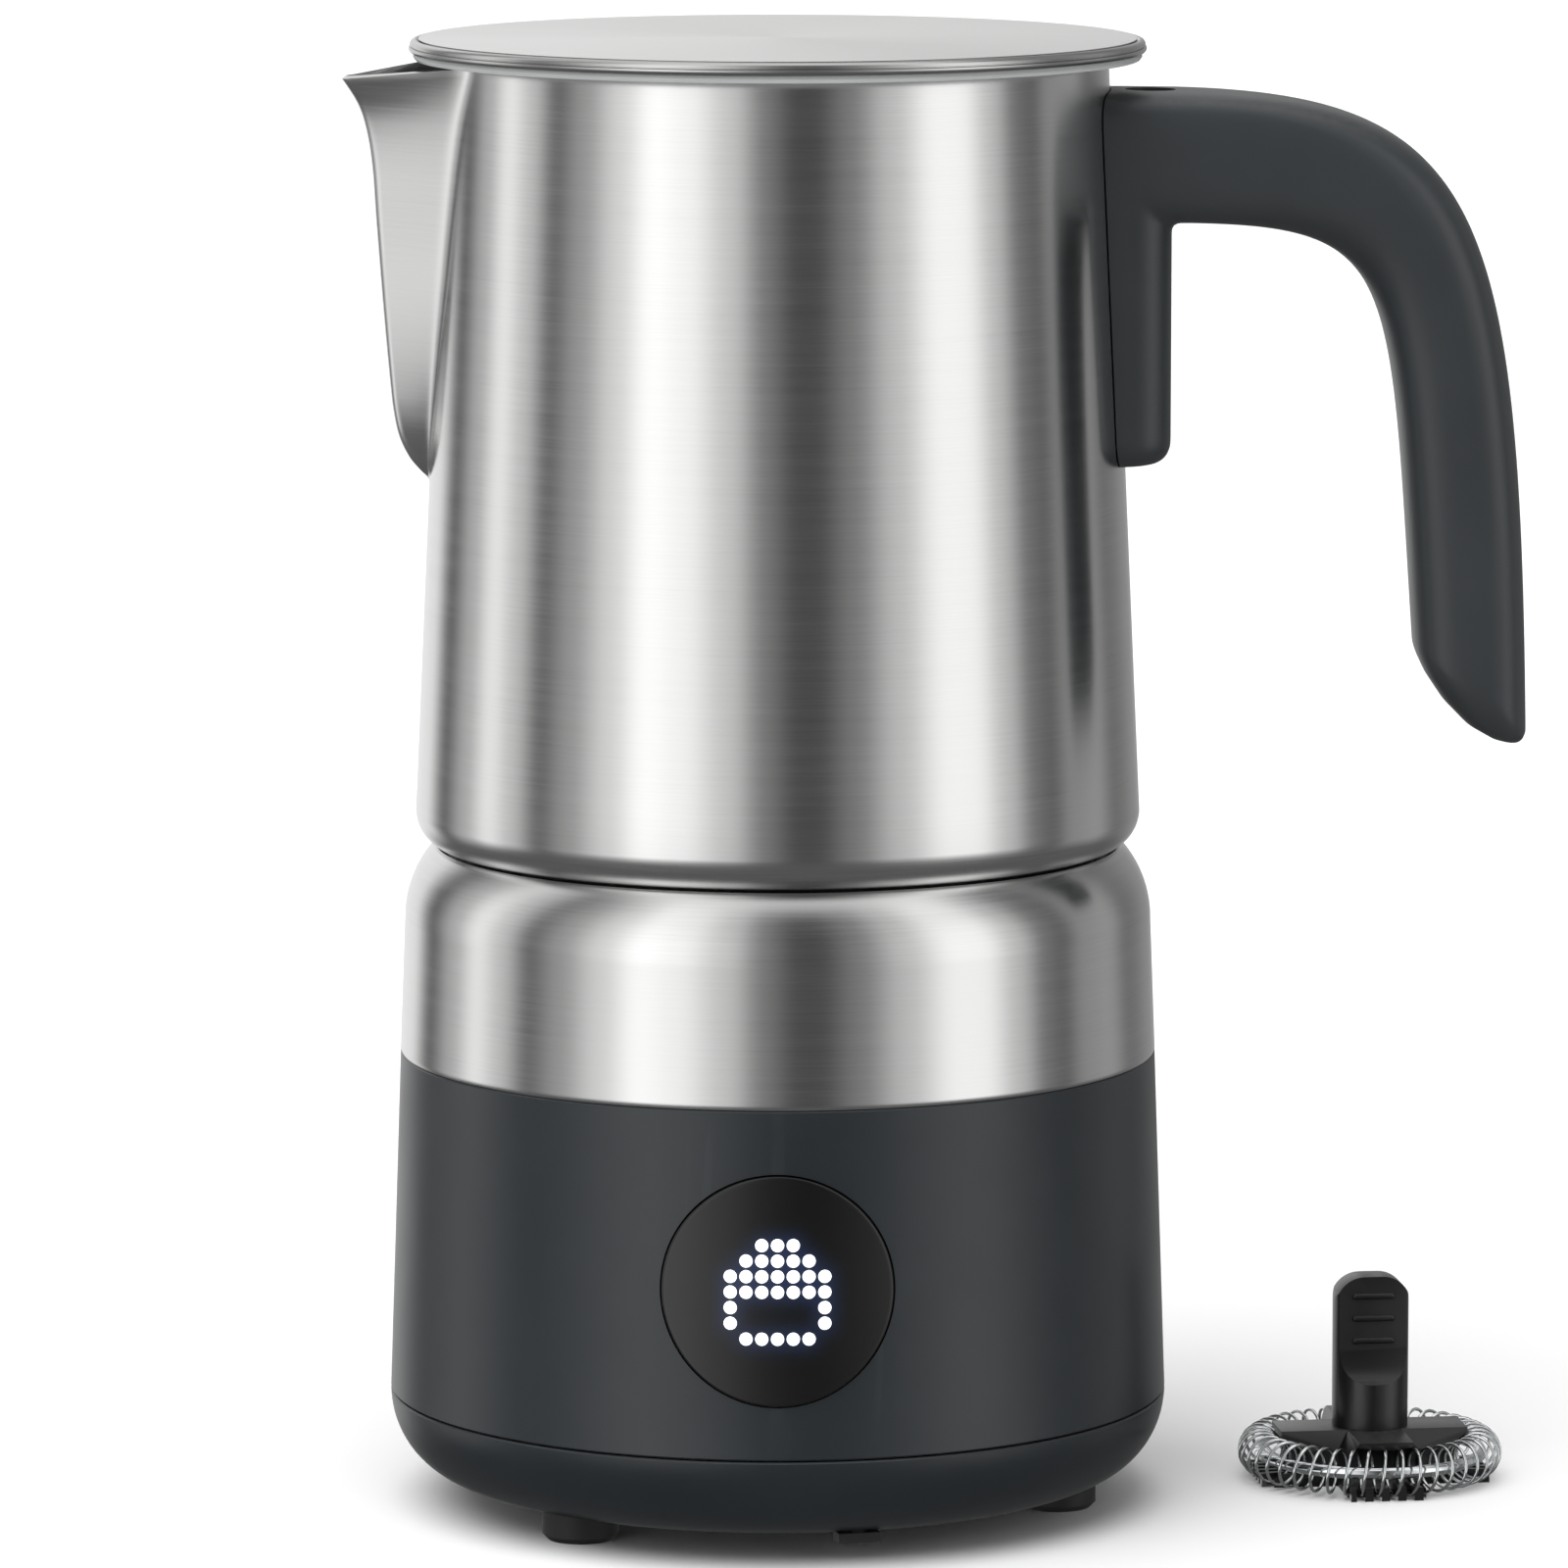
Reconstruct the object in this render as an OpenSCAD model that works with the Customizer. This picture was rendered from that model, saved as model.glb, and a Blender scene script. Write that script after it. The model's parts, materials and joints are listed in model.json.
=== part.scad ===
// Milk frother: an induction base, a lift-off steel jug with its lid and handle, a stirring
// whisk on the jug's spindle, and a frothing whisk that stands beside the base.
// Millimetres. The jug's axis is Z and the table is z = 0. The handle points along +X,
// the spout along -X, and the display faces -Y.

/* [Jug] */
// Widest diameter of the jug, just above its bottom corner
jug_base_d = 100.4; // [90:0.2:125]
// Diameter of the jug at its rim
jug_mouth_d = 91; // [84:0.2:96]
// Height of the jug, from its seat to its rim
jug_h = 110.8; // [100:0.2:140]
// Radius of the jug's bottom corner
jug_corner = 5; // [4:0.1:6]
// Distance of the spout's tip from the jug's axis
spout_reach = 60; // [57:0.2:64]
// How far down the wall the spout starts, below the rim
spout_len = 57.6; // [45:0.2:66]
// Diameter of the pin that the whisk turns on
spindle_d = 4; // [3.4:0.1:4.6]

/* [Base] */
// Height of the rubber feet, which is the gap under the base
foot_h = 4; // [3:0.1:6]
// Diameter of a rubber foot
foot_d = 10.5; // [9:0.1:11.5]
// Height of the bottom pan
pan_h = 11.8; // [10:0.1:14]
// Height of the plastic body between its two seams
body_h = 47.6; // [46:0.1:62]
// Height of the steel shoulder, from its seam to the jug's seat
shoulder_h = 26.6; // [26:0.1:32]
// How much wider the base is at its steel seam than the jug
shoulder_gain = 4.6; // [4:0.1:6]
// How much wider the base is at the pan than at the steel seam
base_flare = 3.2; // [2:0.1:6]

/* [Display button] */
// Diameter of the round button that carries the display
button_d = 31.7; // [28:0.1:32]
// Height of the button's centre above the pan's seam
button_rise = 23.2; // [22:0.1:24]
// How far the button travels when pressed
button_travel = 1; // [0.6:0.1:1.4]
// How far the button stands out of the body
button_proud = 0.5; // [0.3:0.1:0.8]
// Distance between the lights of the display
dot_pitch = 2.12; // [1.9:0.02:2.16]

/* [Handle] */
// Distance of the handle's outermost point from the jug's axis
handle_reach = 103.6; // [98:0.2:115]
// Height of the grip, from the top of the handle to its lower end
handle_drop = 87.9; // [76:0.1:94]
// Depth of the handle's arm where it leaves the jug
arm_h = 18; // [15:0.1:20]
// Thickness of the grip at its lower end
grip_t = 15.6; // [13:0.1:17]
// Width of the handle across the jug
handle_w = 24; // [21:0.2:27]
// Height of the bar that lies against the jug
bar_h = 51.4; // [46:0.2:56]

/* [Lid] */
// Diameter of the lid
lid_d = 101.4; // [98:0.2:106]
// Height of the lid above the jug's rim
lid_h = 3.2; // [2.8:0.1:4.5]
// Depth of the lid's skirt inside the jug
skirt_h = 10; // [8:0.1:14]

/* [Whisks] */
// Overall height of a whisk
whisk_h = 29.2; // [28:0.1:34]
// Diameter of a whisk over its ring
whisk_d = 37.3; // [34:0.1:42]
// Diameter of a whisk's hub
hub_d = 10.7; // [9.8:0.1:12]
// Diameter of the frothing coil's tube
coil_d = 6.6; // [6:0.1:7]
// Diameter of the frothing coil's wire
coil_wire = 0.45; // [0.35:0.05:0.6]
// Number of turns of the frothing coil, in fours
coil_turns = 44; // [36:4:44]
// Gap between the base and the frothing whisk beside it
whisk_gap = 10.8; // [8:0.2:20]

/* [Drive and heating] */
// Diameter of the motor
motor_d = 27.6; // [24:0.2:28]
// Length of the motor
motor_l = 28.2; // [26:0.2:28.4]
// Diameter of the motor's shaft
shaft_d = 2; // [1.8:0.1:2.2]
// Diameter of the magnet rotor under the jug
rotor_d = 27; // [25:0.2:27]
// Outer diameter of the induction coil
coil_pan_d = 83; // [76:0.5:84]

/* [Hidden] */
$fn = 96;

// Shared thicknesses and clearances
wall = 2.4;             // plastic wall
sheet = 0.8;            // steel sheet
pin_gap = 0.05;         // radial gap of a turning or sliding fit
slip = 0.3;             // gap between neighbours that pass each other
screw_d = 2.9;          // shank of the casing screws
pilot_d = 3;            // screwed hole
clear_d = 3.4;          // hole that a shank passes through
head_d = 5.6;           // screw head
head_h = 2;             // height of a screw head
eps = 0.01;

// Heights of the base
pan_top = foot_h + pan_h;
seam_z = pan_top + body_h;
seat_z = seam_z + shoulder_h;
button_z = pan_top + button_rise;

// Radii of the base
jug_r = jug_base_d / 2;
seam_r = jug_r + shoulder_gain / 2;
base_r = seam_r + base_flare / 2;
shoulder_r = seam_r - 0.7;
shoulder_arc = 15;
shoulder_arc_z = seat_z - 8;
rim_rise = 0.8;
rim_angle = asin((seat_z + rim_rise - shoulder_arc_z) / shoulder_arc);

// Jug
corner_z = seat_z + jug_corner;
rim_z = seat_z + jug_h;
jug_taper = (jug_r - jug_mouth_d / 2) / (rim_z - corner_z);
foot_recess = 0.9;
floor_z = seat_z + foot_recess + sheet;

// Three feet, spread evenly, and the screws behind them
foot_angles = [227.4, 347.4, 107.4];
foot_r = base_r - 14.1;
pan_boss_top = foot_h + 7;

// Gland for the mains cord, at the back
gland_rise = 10.2;
gland_flange_r = 8;

// Power board
board_z = foot_h + 14;
board_t = 1.6;
board_posts = [[-26, -18], [26, -18], [-26, 24], [26, 24]];

// Drive stack, measured down from the seat
deck_t = 2.2;
coil_top = seat_z - deck_t - 0.8;
carrier_z = coil_top - 6.4;
carrier_t = 3;
bracket_t = 1.6;
bracket_z = carrier_z - 3.8 - bracket_t;
motor_top = bracket_z;
motor_z = motor_top - motor_l;
rotor_z = seat_z - 6.8;
rotor_t = 3.8;
post_r = jug_r - 5.2;
post_angles = [0, 120, 240];
deck_out = shoulder_r - sheet - 0.7;
deck_in = deck_out - 2;
sensor_r = 19.5;
sensor_cap_r = 2.8;
sensor_travel = 1.5;
magnet_orbit = 9;

// Display stack, measured back from the front of the body
front_r = wall_r(button_z);
hole_r = button_d / 2 + 0.65;
flange_r = hole_r + 1.1;
flange_y = -sqrt(pow(front_r - wall, 2) - pow(flange_r, 2)) + slip;
flange_t = 1;
led_board_y = flange_y + flange_t + 3.5;
cap_skirt = 1.4;
grid_r = button_d / 2 - cap_skirt - 2.36;
cap_t = 2;
grid_y = -sqrt(pow(front_r + button_proud - cap_t, 2) - pow(grid_r, 2)) + button_travel + 0.8;
frame_y = led_board_y + board_t + 0.2;
ear_x = flange_r + 6.1;

// Whisks, in their own frame with the hub's axis at the origin
ring_r = whisk_d / 2 - coil_d / 2;
tube_z = coil_d / 2 + 0.6;
arm_top = tube_z + coil_d / 2 + 0.4;
arm_w = hub_d + 0.2;
arm_end = ring_r + 0.6;
plate_end = ring_r - 2.05;
lip_end = ring_r + 0.85;
lip_h = 1.9;
whisk_magnet_r = hub_d / 2 + 3.05;
whisk_x = base_r + whisk_d / 2 + whisk_gap;
whisk_y = 10;
whisk_turn = 7;
stirrer_z = floor_z + 1.2;
spindle_h = 14;

charcoal = "#34383c";
black = "#1b1c1e";
steel = "#c3c5c7";
satin = "#cfd0d1";
copper = "#b5683a";
ferrite = "#3b3b3d";
board_green = "#2d5a3a";

// Outer radius of the plastic body at height z
function wall_r(z) = base_r - (z - pan_top) * (base_r - seam_r) / body_h;

// Outer radius of the jug at height z
function jug_at(z) = jug_r - (z - corner_z) * jug_taper;

// Points of an arc about [cx, cy], from angle a to angle b in n steps
function arc(cx, cy, rx, ry, a, b, n) =
    [for (i = [0 : n]) let (t = a + (b - a) * i / n) [cx + rx * cos(t), cy + ry * sin(t)]];

// Point of a cubic curve through four control points
function bezier(p, t) =
    pow(1 - t, 3) * p[0] + 3 * pow(1 - t, 2) * t * p[1] + 3 * (1 - t) * t * t * p[2] + pow(t, 3) * p[3];

// A closed solid through a list of rings that all have the same number of points
module loft(rings) {
    n = len(rings[0]);
    m = len(rings);
    points = [for (ring = rings) for (p = ring) p];
    sides = [for (i = [0 : m - 2]) for (j = [0 : n - 1]) let (k = (j + 1) % n)
        each [[i * n + j, i * n + k, (i + 1) * n + k], [i * n + j, (i + 1) * n + k, (i + 1) * n + j]]];
    first = [for (j = [n - 1 : -1 : 0]) j];
    last = [for (j = [0 : n - 1]) (m - 1) * n + j];
    polyhedron(points = points, faces = concat([first], sides, [last]));
}

module at_angles(angles, r) {
    for (a = angles) rotate(a) translate([r, 0, 0]) children();
}

module ring(r_out, r_in, h) {
    difference() {
        cylinder(r = r_out, h = h);
        translate([0, 0, -1]) cylinder(r = r_in, h = h + 2);
    }
}

// Screw that points up, with the underside of its head at z = 0
module screw(length, d, head, head_t) {
    translate([0, 0, -head_t]) difference() {
        cylinder(d = head, h = head_t);
        translate([0, 0, -eps]) cylinder(d = head * 0.5, h = head_t * 0.6, $fn = 6);
    }
    cylinder(d = d, h = length);
}

// Round wire wound into a straight spring from z = 0 to z = h
module spring(r, wire, h, turns) {
    steps = 12 * turns;
    rings = [for (i = [0 : steps]) let (a = 30 * i, z = wire / 2 + (h - wire) * i / steps)
        [for (j = [0 : 5]) let (q = r + wire / 2 * cos(60 * j))
            [q * cos(a), q * sin(a), z - wire / 2 * sin(60 * j)]]];
    loft(rings);
}

// Solid inside the body's outer cone, grown by g
module body_cone(g) {
    translate([0, 0, pan_top]) cylinder(r1 = base_r + g, r2 = seam_r + g, h = body_h);
}

// Children drawn about the button's axis, with z along +Y
module on_button() {
    translate([0, 0, button_z]) rotate([-90, 0, 0]) children();
}

// ---- Base ----

module bottom_pan() {
    bend = 10.6;
    side = wall + 1.6;
    flat_r = base_r - bend;
    color(charcoal) difference() {
        union() {
            rotate_extrude() polygon(concat(
                [[0, foot_h]],
                arc(flat_r, pan_top, bend, pan_h, -90, 0, 9),
                [[base_r - wall - 0.15, pan_top], [base_r - wall - 0.15, pan_top + 3]],
                [[base_r - side, pan_top + 3]],
                arc(flat_r, pan_top, bend - side, pan_h - wall, 0, -90, 6),
                [[0, foot_h + wall]]
            ));
            at_angles(foot_angles, foot_r) translate([0, 0, foot_h + 1]) cylinder(r = 7, h = 6);
            for (p = board_posts) translate([p[0], p[1], foot_h + 1]) cylinder(r = 3, h = board_z - foot_h - 1);
        }
        at_angles(foot_angles, foot_r) {
            translate([0, 0, foot_h - 1]) cylinder(d = foot_d + 0.2, h = 3);
            translate([0, 0, foot_h]) cylinder(d = head_d + 0.6, h = 4.6);
            translate([0, 0, foot_h]) cylinder(d = clear_d, h = 12);
        }
        for (p = board_posts) translate([p[0], p[1], foot_h + 5]) cylinder(d = 2.1, h = 20);
        for (a = [15 : 30 : 345]) rotate(a) translate([12, -1.1, foot_h - 1]) cube([12, 2.2, wall + 2]);
        rotate(-76) translate([base_r - 9.6, 0, foot_h - 1]) cylinder(r = 1.25, h = 3);
    }
}

module pan_screws() {
    color(steel) at_angles(foot_angles, foot_r) translate([0, 0, foot_h + 4.6]) {
        screw(14, screw_d, head_d, head_h);
    }
}

module rubber_feet() {
    color(black) at_angles(foot_angles, foot_r) rotate_extrude() polygon([
        [0, 0], [foot_d / 2 - 0.8, 0], [foot_d / 2, 0.8], [foot_d / 2, foot_h + 1.9], [0, foot_h + 1.9]
    ]);
}

// Small rubber stop under the front edge, where no foot stands
module anti_tip_pad() {
    color(black) rotate(-76) translate([base_r - 9.6, 0, 0]) {
        translate([-1.6, -2.9, foot_h - 1.4]) cube([3.2, 5.8, 1.4]);
        translate([0, 0, foot_h - eps]) cylinder(r = 1.2, h = 1.8);
    }
}

module base_body() {
    inner = seam_r - wall;
    color(charcoal) difference() {
        union() {
            rotate_extrude() polygon([
                [base_r, pan_top], [seam_r, seam_z], [inner - 7.6, seam_z], [inner - 7.6, seam_z - wall],
                [inner, seam_z - wall], [base_r - wall, pan_top]
            ]);
            at_angles(foot_angles, foot_r) {
                translate([0, 0, pan_boss_top]) cylinder(r = 3.6, h = 22);
                translate([2, -1, pan_top + 4.2]) cube([11, 2, 12]);
            }
            for (x = [-ear_x, ear_x]) translate([x, 0, 0]) on_button() {
                translate([0, 0, flange_y + 1.5]) cylinder(r = 2.7, h = frame_y - 0.2 - flange_y - 1.5);
            }
        }
        at_angles(foot_angles, foot_r) translate([0, 0, pan_boss_top - 1]) cylinder(d = pilot_d, h = 16);
        for (x = [-ear_x, ear_x]) translate([x, 0, 0]) on_button() {
            translate([0, 0, frame_y - 4.6]) cylinder(d = 2.3, h = 6);
        }
        on_button() translate([0, 0, -base_r - 2]) cylinder(r = hole_r, h = 20);
        translate([0, 0, pan_top + gland_rise]) rotate([-90, 0, 0]) cylinder(r = 6.05, h = base_r + 5);
        at_angles([60, 180, 300], post_r + 1) translate([0, 0, seam_z - wall - 1]) cylinder(d = clear_d, h = 6);
    }
}

module cord_gland() {
    y = wall_r(pan_top + gland_rise);
    flange = y + gland_flange_r * base_flare / 2 / body_h + 0.03;
    color(black) translate([0, 0, pan_top + gland_rise]) rotate([-90, 0, 0]) difference() {
        union() {
            translate([0, 0, flange]) cylinder(r = gland_flange_r, h = 1.6);
            translate([0, 0, y - 6]) cylinder(r = 6, h = 7);
            translate([0, 0, y - 6]) cylinder(r = gland_rise - 3.1, h = 2.6);
        }
        translate([0, 0, y - 10]) cylinder(r = 3.3, h = 20);
    }
}

module power_board() {
    color(board_green) difference() {
        translate([-30, -22, board_z]) cube([60, 50, board_t]);
        for (p = board_posts) translate([p[0], p[1], board_z - 1]) cylinder(d = 2.6, h = 4);
    }
}

module board_screws() {
    color(steel) for (p = board_posts) translate([p[0], p[1], board_z + board_t]) {
        mirror([0, 0, 1]) screw(7, 2, 4, 1.4);
    }
}

module heat_sink() {
    color("#9da2a6") translate([-12, 6, board_z + board_t]) {
        cube([30, 20, 2.4]);
        for (i = [0 : 7]) translate([i * 4.1, 0, 2.4 - eps]) cube([1.3, 20, 14]);
    }
}

module filter_capacitor() {
    color("#20262e") translate([-19, -8, board_z + board_t]) {
        cylinder(r = 7.5, h = 18);
        translate([0, 0, 18 - eps]) cylinder(r = 6.2, h = 0.6);
    }
}

module choke_coil() {
    color(copper) translate([8, -10, board_z + board_t + 3.4]) rotate_extrude() {
        translate([6.8, 0]) circle(r = 3.2, $fn = 32);
    }
}

module mains_terminal() {
    color("#d8d4c8") translate([-29.5, 8, board_z + board_t]) difference() {
        cube([12, 11, 10]);
        for (x = [3.2, 8.8]) translate([x, 5.5, 4]) cylinder(r = 1.9, h = 8);
    }
}

// ---- Display and button ----

module display_frame() {
    color(black) difference() {
        on_button() union() {
            translate([0, 0, frame_y]) cylinder(r = flange_r + 3, h = 2);
            translate([0, 0, flange_y + 1.6]) ring(flange_r + 3, flange_r + 1.4, frame_y - flange_y - 1.5);
            for (x = [-1, 1]) translate([x * ear_x, 0, frame_y]) cylinder(r = 3.2, h = 2);
        }
        on_button() translate([0, 0, frame_y - 1]) cylinder(r = 8, h = 4);
        for (x = [-1, 1]) translate([x * ear_x, 0, 0]) on_button() {
            translate([0, 0, frame_y - 1]) cylinder(d = 2.6, h = 4);
        }
    }
}

module frame_screws() {
    color(steel) for (x = [-1, 1]) translate([x * ear_x, 0, 0]) on_button() {
        translate([0, 0, frame_y + 2]) mirror([0, 0, 1]) screw(6, 2.2, 4.2, 1.5);
    }
}

module display_board() {
    color(board_green) on_button() translate([0, 0, led_board_y]) cylinder(r = flange_r + 1.1, h = board_t);
}

module led_matrix() {
    color("#e8eef4") on_button() for (i = [-3 : 3], j = [-3 : 3]) {
        translate([i * dot_pitch - 0.6, j * dot_pitch - 0.6, led_board_y - 0.6]) cube([1.2, 1.2, 0.6]);
    }
}

// Grid of light wells between the lights and the button
module light_grid() {
    color(black) on_button() difference() {
        translate([0, 0, grid_y]) cylinder(r = grid_r, h = led_board_y - grid_y);
        translate([0, 0, led_board_y - 0.8]) cylinder(r = grid_r - 1.2, h = 1);
        for (i = [-3 : 3], j = [-3 : 3]) {
            translate([i * dot_pitch, j * dot_pitch, grid_y - 1]) cylinder(d = dot_pitch - 0.4, h = 12, $fn = 24);
        }
    }
}

module button_switch() {
    stop = flange_y + flange_t + button_travel + 0.15;
    color("#50555a") translate([0, 0, -hole_r + 1.1]) on_button() {
        translate([-2, -2, led_board_y - 1.5]) cube([4, 4, 1.5]);
        translate([0, 0, stop]) cylinder(r = 0.9, h = led_board_y - 1.5 - stop + eps);
    }
}

module button_springs() {
    color(steel) on_button() for (a = [45 : 90 : 315]) rotate(a) {
        translate([hole_r - 0.5, 0, flange_y + flange_t]) spring(1.1, 0.35, led_board_y - flange_y - flange_t, 3);
    }
}

// Round cap that follows the body's curve and slides in the body's round hole
module button_cap() {
    color(black) union() {
        difference() {
            intersection() {
                body_cone(button_proud);
                on_button() translate([0, 0, -base_r - 5]) cylinder(d = button_d, h = base_r + 5 + flange_y + flange_t);
            }
            intersection() {
                body_cone(button_proud - cap_t);
                on_button() translate([0, 0, -base_r - 5]) cylinder(r = button_d / 2 - cap_skirt, h = base_r + 20);
            }
        }
        on_button() translate([0, 0, flange_y]) ring(flange_r, button_d / 2 - cap_skirt, flange_t);
    }
}

// ---- Top of the base ----

module shoulder_shell() {
    centre = shoulder_r - shoulder_arc;
    color(steel) rotate_extrude() polygon(concat(
        [[seam_r, seam_z]],
        arc(centre, shoulder_arc_z, shoulder_arc, shoulder_arc, 0, rim_angle, 8),
        arc(centre, shoulder_arc_z, shoulder_arc - sheet, shoulder_arc - sheet, rim_angle, 0, 8),
        [[seam_r - sheet, seam_z]]
    ));
}

// Deck that the jug stands on, with a skirt that carries the steel shoulder
module top_deck() {
    color(black) difference() {
        union() {
            rotate_extrude() polygon([
                [0, seat_z], [deck_out - 2.7, seat_z], [deck_out - 1.3, seat_z - 1.8],
                [deck_out, seat_z - 4.5], [deck_out, seam_z], [deck_in, seam_z],
                [deck_in, seat_z - deck_t], [0, seat_z - deck_t]
            ]);
            at_angles(post_angles, post_r) translate([0, 0, carrier_z + carrier_t]) {
                cylinder(r = 3, h = seat_z - 1 - carrier_z - carrier_t);
            }
            at_angles([60, 180, 300], post_r + 1) translate([0, 0, seam_z + 0.4]) cylinder(r = 3, h = 12);
        }
        at_angles(post_angles, post_r) translate([0, 0, carrier_z]) cylinder(d = pilot_d, h = 8.5);
        at_angles([60, 180, 300], post_r + 1) translate([0, 0, seam_z - 1]) cylinder(d = pilot_d, h = 11.5);
        translate([sensor_r, 0, seat_z - 6]) cylinder(r = sensor_cap_r + 0.1, h = 10);
    }
}

module deck_screws() {
    color(steel) at_angles([60, 180, 300], post_r + 1) translate([0, 0, seam_z - wall]) {
        screw(11, screw_d, head_d, head_h);
    }
}

// Carrier of the induction coil, with the sensor's guide tube and the motor's posts
module coil_carrier() {
    color("#8a8478") difference() {
        union() {
            translate([0, 0, carrier_z]) cylinder(r = coil_pan_d / 2 + 1.6, h = carrier_t);
            translate([sensor_r, 0, carrier_z]) cylinder(r = 4.4, h = 6.4);
            at_angles(post_angles, post_r) translate([0, 0, bracket_z + bracket_t]) {
                cylinder(r = 3.2, h = carrier_z + carrier_t - bracket_z - bracket_t);
            }
            at_angles(post_angles, coil_pan_d / 2 - 3) translate([0, -3, carrier_z]) {
                cube([post_r - coil_pan_d / 2 + 3, 6, carrier_t]);
            }
        }
        translate([0, 0, carrier_z - 1]) cylinder(r = rotor_d / 2 + 0.8, h = 10);
        translate([sensor_r, 0, carrier_z + 1]) cylinder(r = 3.5, h = 10);
        translate([sensor_r, 0, carrier_z - 1]) cylinder(r = 1.9, h = 10);
        at_angles(post_angles, post_r) translate([0, 0, bracket_z]) cylinder(d = clear_d, h = 20);
    }
}

// Flat winding, its upper face grooved between the turns
module induction_coil() {
    r_in = sensor_r + 4.8;
    turns = 8;
    step = (coil_pan_d / 2 - r_in) / turns;
    z = carrier_z + carrier_t;
    color(copper) rotate_extrude() polygon(concat(
        [[r_in, z], [coil_pan_d / 2, z]],
        [for (i = [turns : -1 : 1]) each [[r_in + i * step, coil_top - 0.9], [r_in + (i - 0.5) * step, coil_top]]],
        [[r_in, coil_top - 0.9]]
    ));
}

module ferrite_bars() {
    color(ferrite) for (a = [30 : 60 : 330]) rotate(a) {
        translate([20, -4, carrier_z - 2.8]) cube([coil_pan_d / 2 - 20, 8, 2.6]);
    }
}

module carrier_screws() {
    color(steel) at_angles(post_angles, post_r) translate([0, 0, bracket_z]) {
        screw(12, screw_d, head_d, head_h);
    }
}

module sensor_plunger() {
    color(steel) translate([sensor_r, 0, 0]) {
        translate([0, 0, seat_z - deck_t - 1]) cylinder(r = sensor_cap_r, h = deck_t + 1.25);
        translate([0, 0, seat_z - deck_t - 1.4]) cylinder(r = 3.2, h = 1.2);
        translate([0, 0, carrier_z + 0.6]) cylinder(r = 1.5, h = seat_z - deck_t - 1.4 - carrier_z);
    }
}

module sensor_spring() {
    color(steel) translate([sensor_r, 0, carrier_z + 1]) {
        spring(2.5, 0.4, seat_z - deck_t - 1.4 - carrier_z - 1, 4);
    }
}

// ---- Motor and magnet drive ----

module motor_bracket() {
    color(steel) difference() {
        union() {
            translate([0, 0, bracket_z]) cylinder(r = 17, h = bracket_t);
            at_angles(post_angles, 0) translate([0, -4, bracket_z]) cube([post_r, 8, bracket_t]);
            at_angles(post_angles, post_r) translate([0, 0, bracket_z]) cylinder(r = deck_in - post_r - 0.2, h = bracket_t);
        }
        translate([0, 0, bracket_z - 1]) cylinder(r = 5.3, h = 4);
        for (y = [-8, 8]) translate([0, y, bracket_z - 1]) cylinder(d = 2.8, h = 4);
        at_angles(post_angles, post_r) translate([0, 0, bracket_z - 1]) cylinder(d = clear_d, h = 4);
    }
}

module motor_screws() {
    color(steel) for (y = [-8, 8]) translate([0, y, bracket_z + bracket_t]) {
        mirror([0, 0, 1]) screw(3.4, 2.4, 4.4, 1.2);
    }
}

module motor_can() {
    color("#a9adb0") difference() {
        union() {
            translate([0, 0, motor_z + 2.5]) cylinder(d = motor_d, h = motor_l - 2.5);
            translate([0, 0, motor_top - 1]) cylinder(r = 5.1, h = 2.8);
        }
        translate([0, 0, motor_z]) cylinder(d = motor_d - 2.4, h = motor_l - 1.2);
        translate([0, 0, motor_top - 3]) cylinder(r = shaft_d / 2 + pin_gap, h = 8);
        for (y = [-8, 8]) translate([0, y, motor_top - 3]) cylinder(d = 2.5, h = 5);
    }
}

module motor_magnets() {
    color(ferrite) for (a = [0, 180]) rotate(a - 70) translate([0, 0, motor_z + 6]) {
        rotate_extrude(angle = 140) translate([motor_d / 2 - 3.5, 0]) square([2.2, motor_l - 10]);
    }
}

module motor_end_cap() {
    color(black) difference() {
        union() {
            translate([0, 0, motor_z]) cylinder(d = motor_d, h = 2.5);
            translate([0, 0, motor_z + 2.5 - eps]) cylinder(d = motor_d - 2.5, h = 1);
            translate([0, 0, motor_z - 1.2]) cylinder(r = 4, h = 2);
            for (x = [-8, 8]) translate([x - 1.2, -0.3, motor_z - 4]) cube([2.4, 0.6, 5]);
        }
        translate([0, 0, motor_z - 3]) cylinder(r = shaft_d / 2 + pin_gap, h = 12);
    }
}

module motor_shaft() {
    color(steel) translate([0, 0, motor_z - 1]) cylinder(d = shaft_d, h = rotor_z + 2.6 - motor_z + 1);
}

module armature() {
    core = motor_d / 2 - 4.3;
    color("#7d6a58") difference() {
        union() {
            translate([0, 0, motor_z + 7]) cylinder(r = core, h = motor_l - 12);
            translate([0, 0, motor_z + 4.2]) cylinder(r = 3.4, h = 3.4);
        }
        for (a = [30, 150, 270]) rotate(a) translate([core - 3, -1.2, motor_z + 6.5]) cube([5, 2.4, motor_l]);
        translate([0, 0, motor_z]) cylinder(r = shaft_d / 2 + eps, h = motor_l);
    }
}

module magnet_rotor() {
    color("#5d6165") difference() {
        union() {
            translate([0, 0, rotor_z]) cylinder(d = rotor_d, h = rotor_t);
            translate([0, 0, rotor_z - 3.6]) cylinder(r = 4, h = 4);
        }
        translate([0, 0, rotor_z - 5]) cylinder(r = shaft_d / 2 + eps, h = 8);
        at_angles([0 : 90 : 270], magnet_orbit) translate([0, 0, rotor_z + 1.3]) cylinder(r = 3.05, h = 4);
    }
}

module drive_magnets() {
    color("#b9bcc0") at_angles([0 : 90 : 270], magnet_orbit) translate([0, 0, rotor_z + 1.3]) {
        cylinder(r = 3, h = rotor_t - 1.4);
    }
}

// ---- Jug ----

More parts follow.
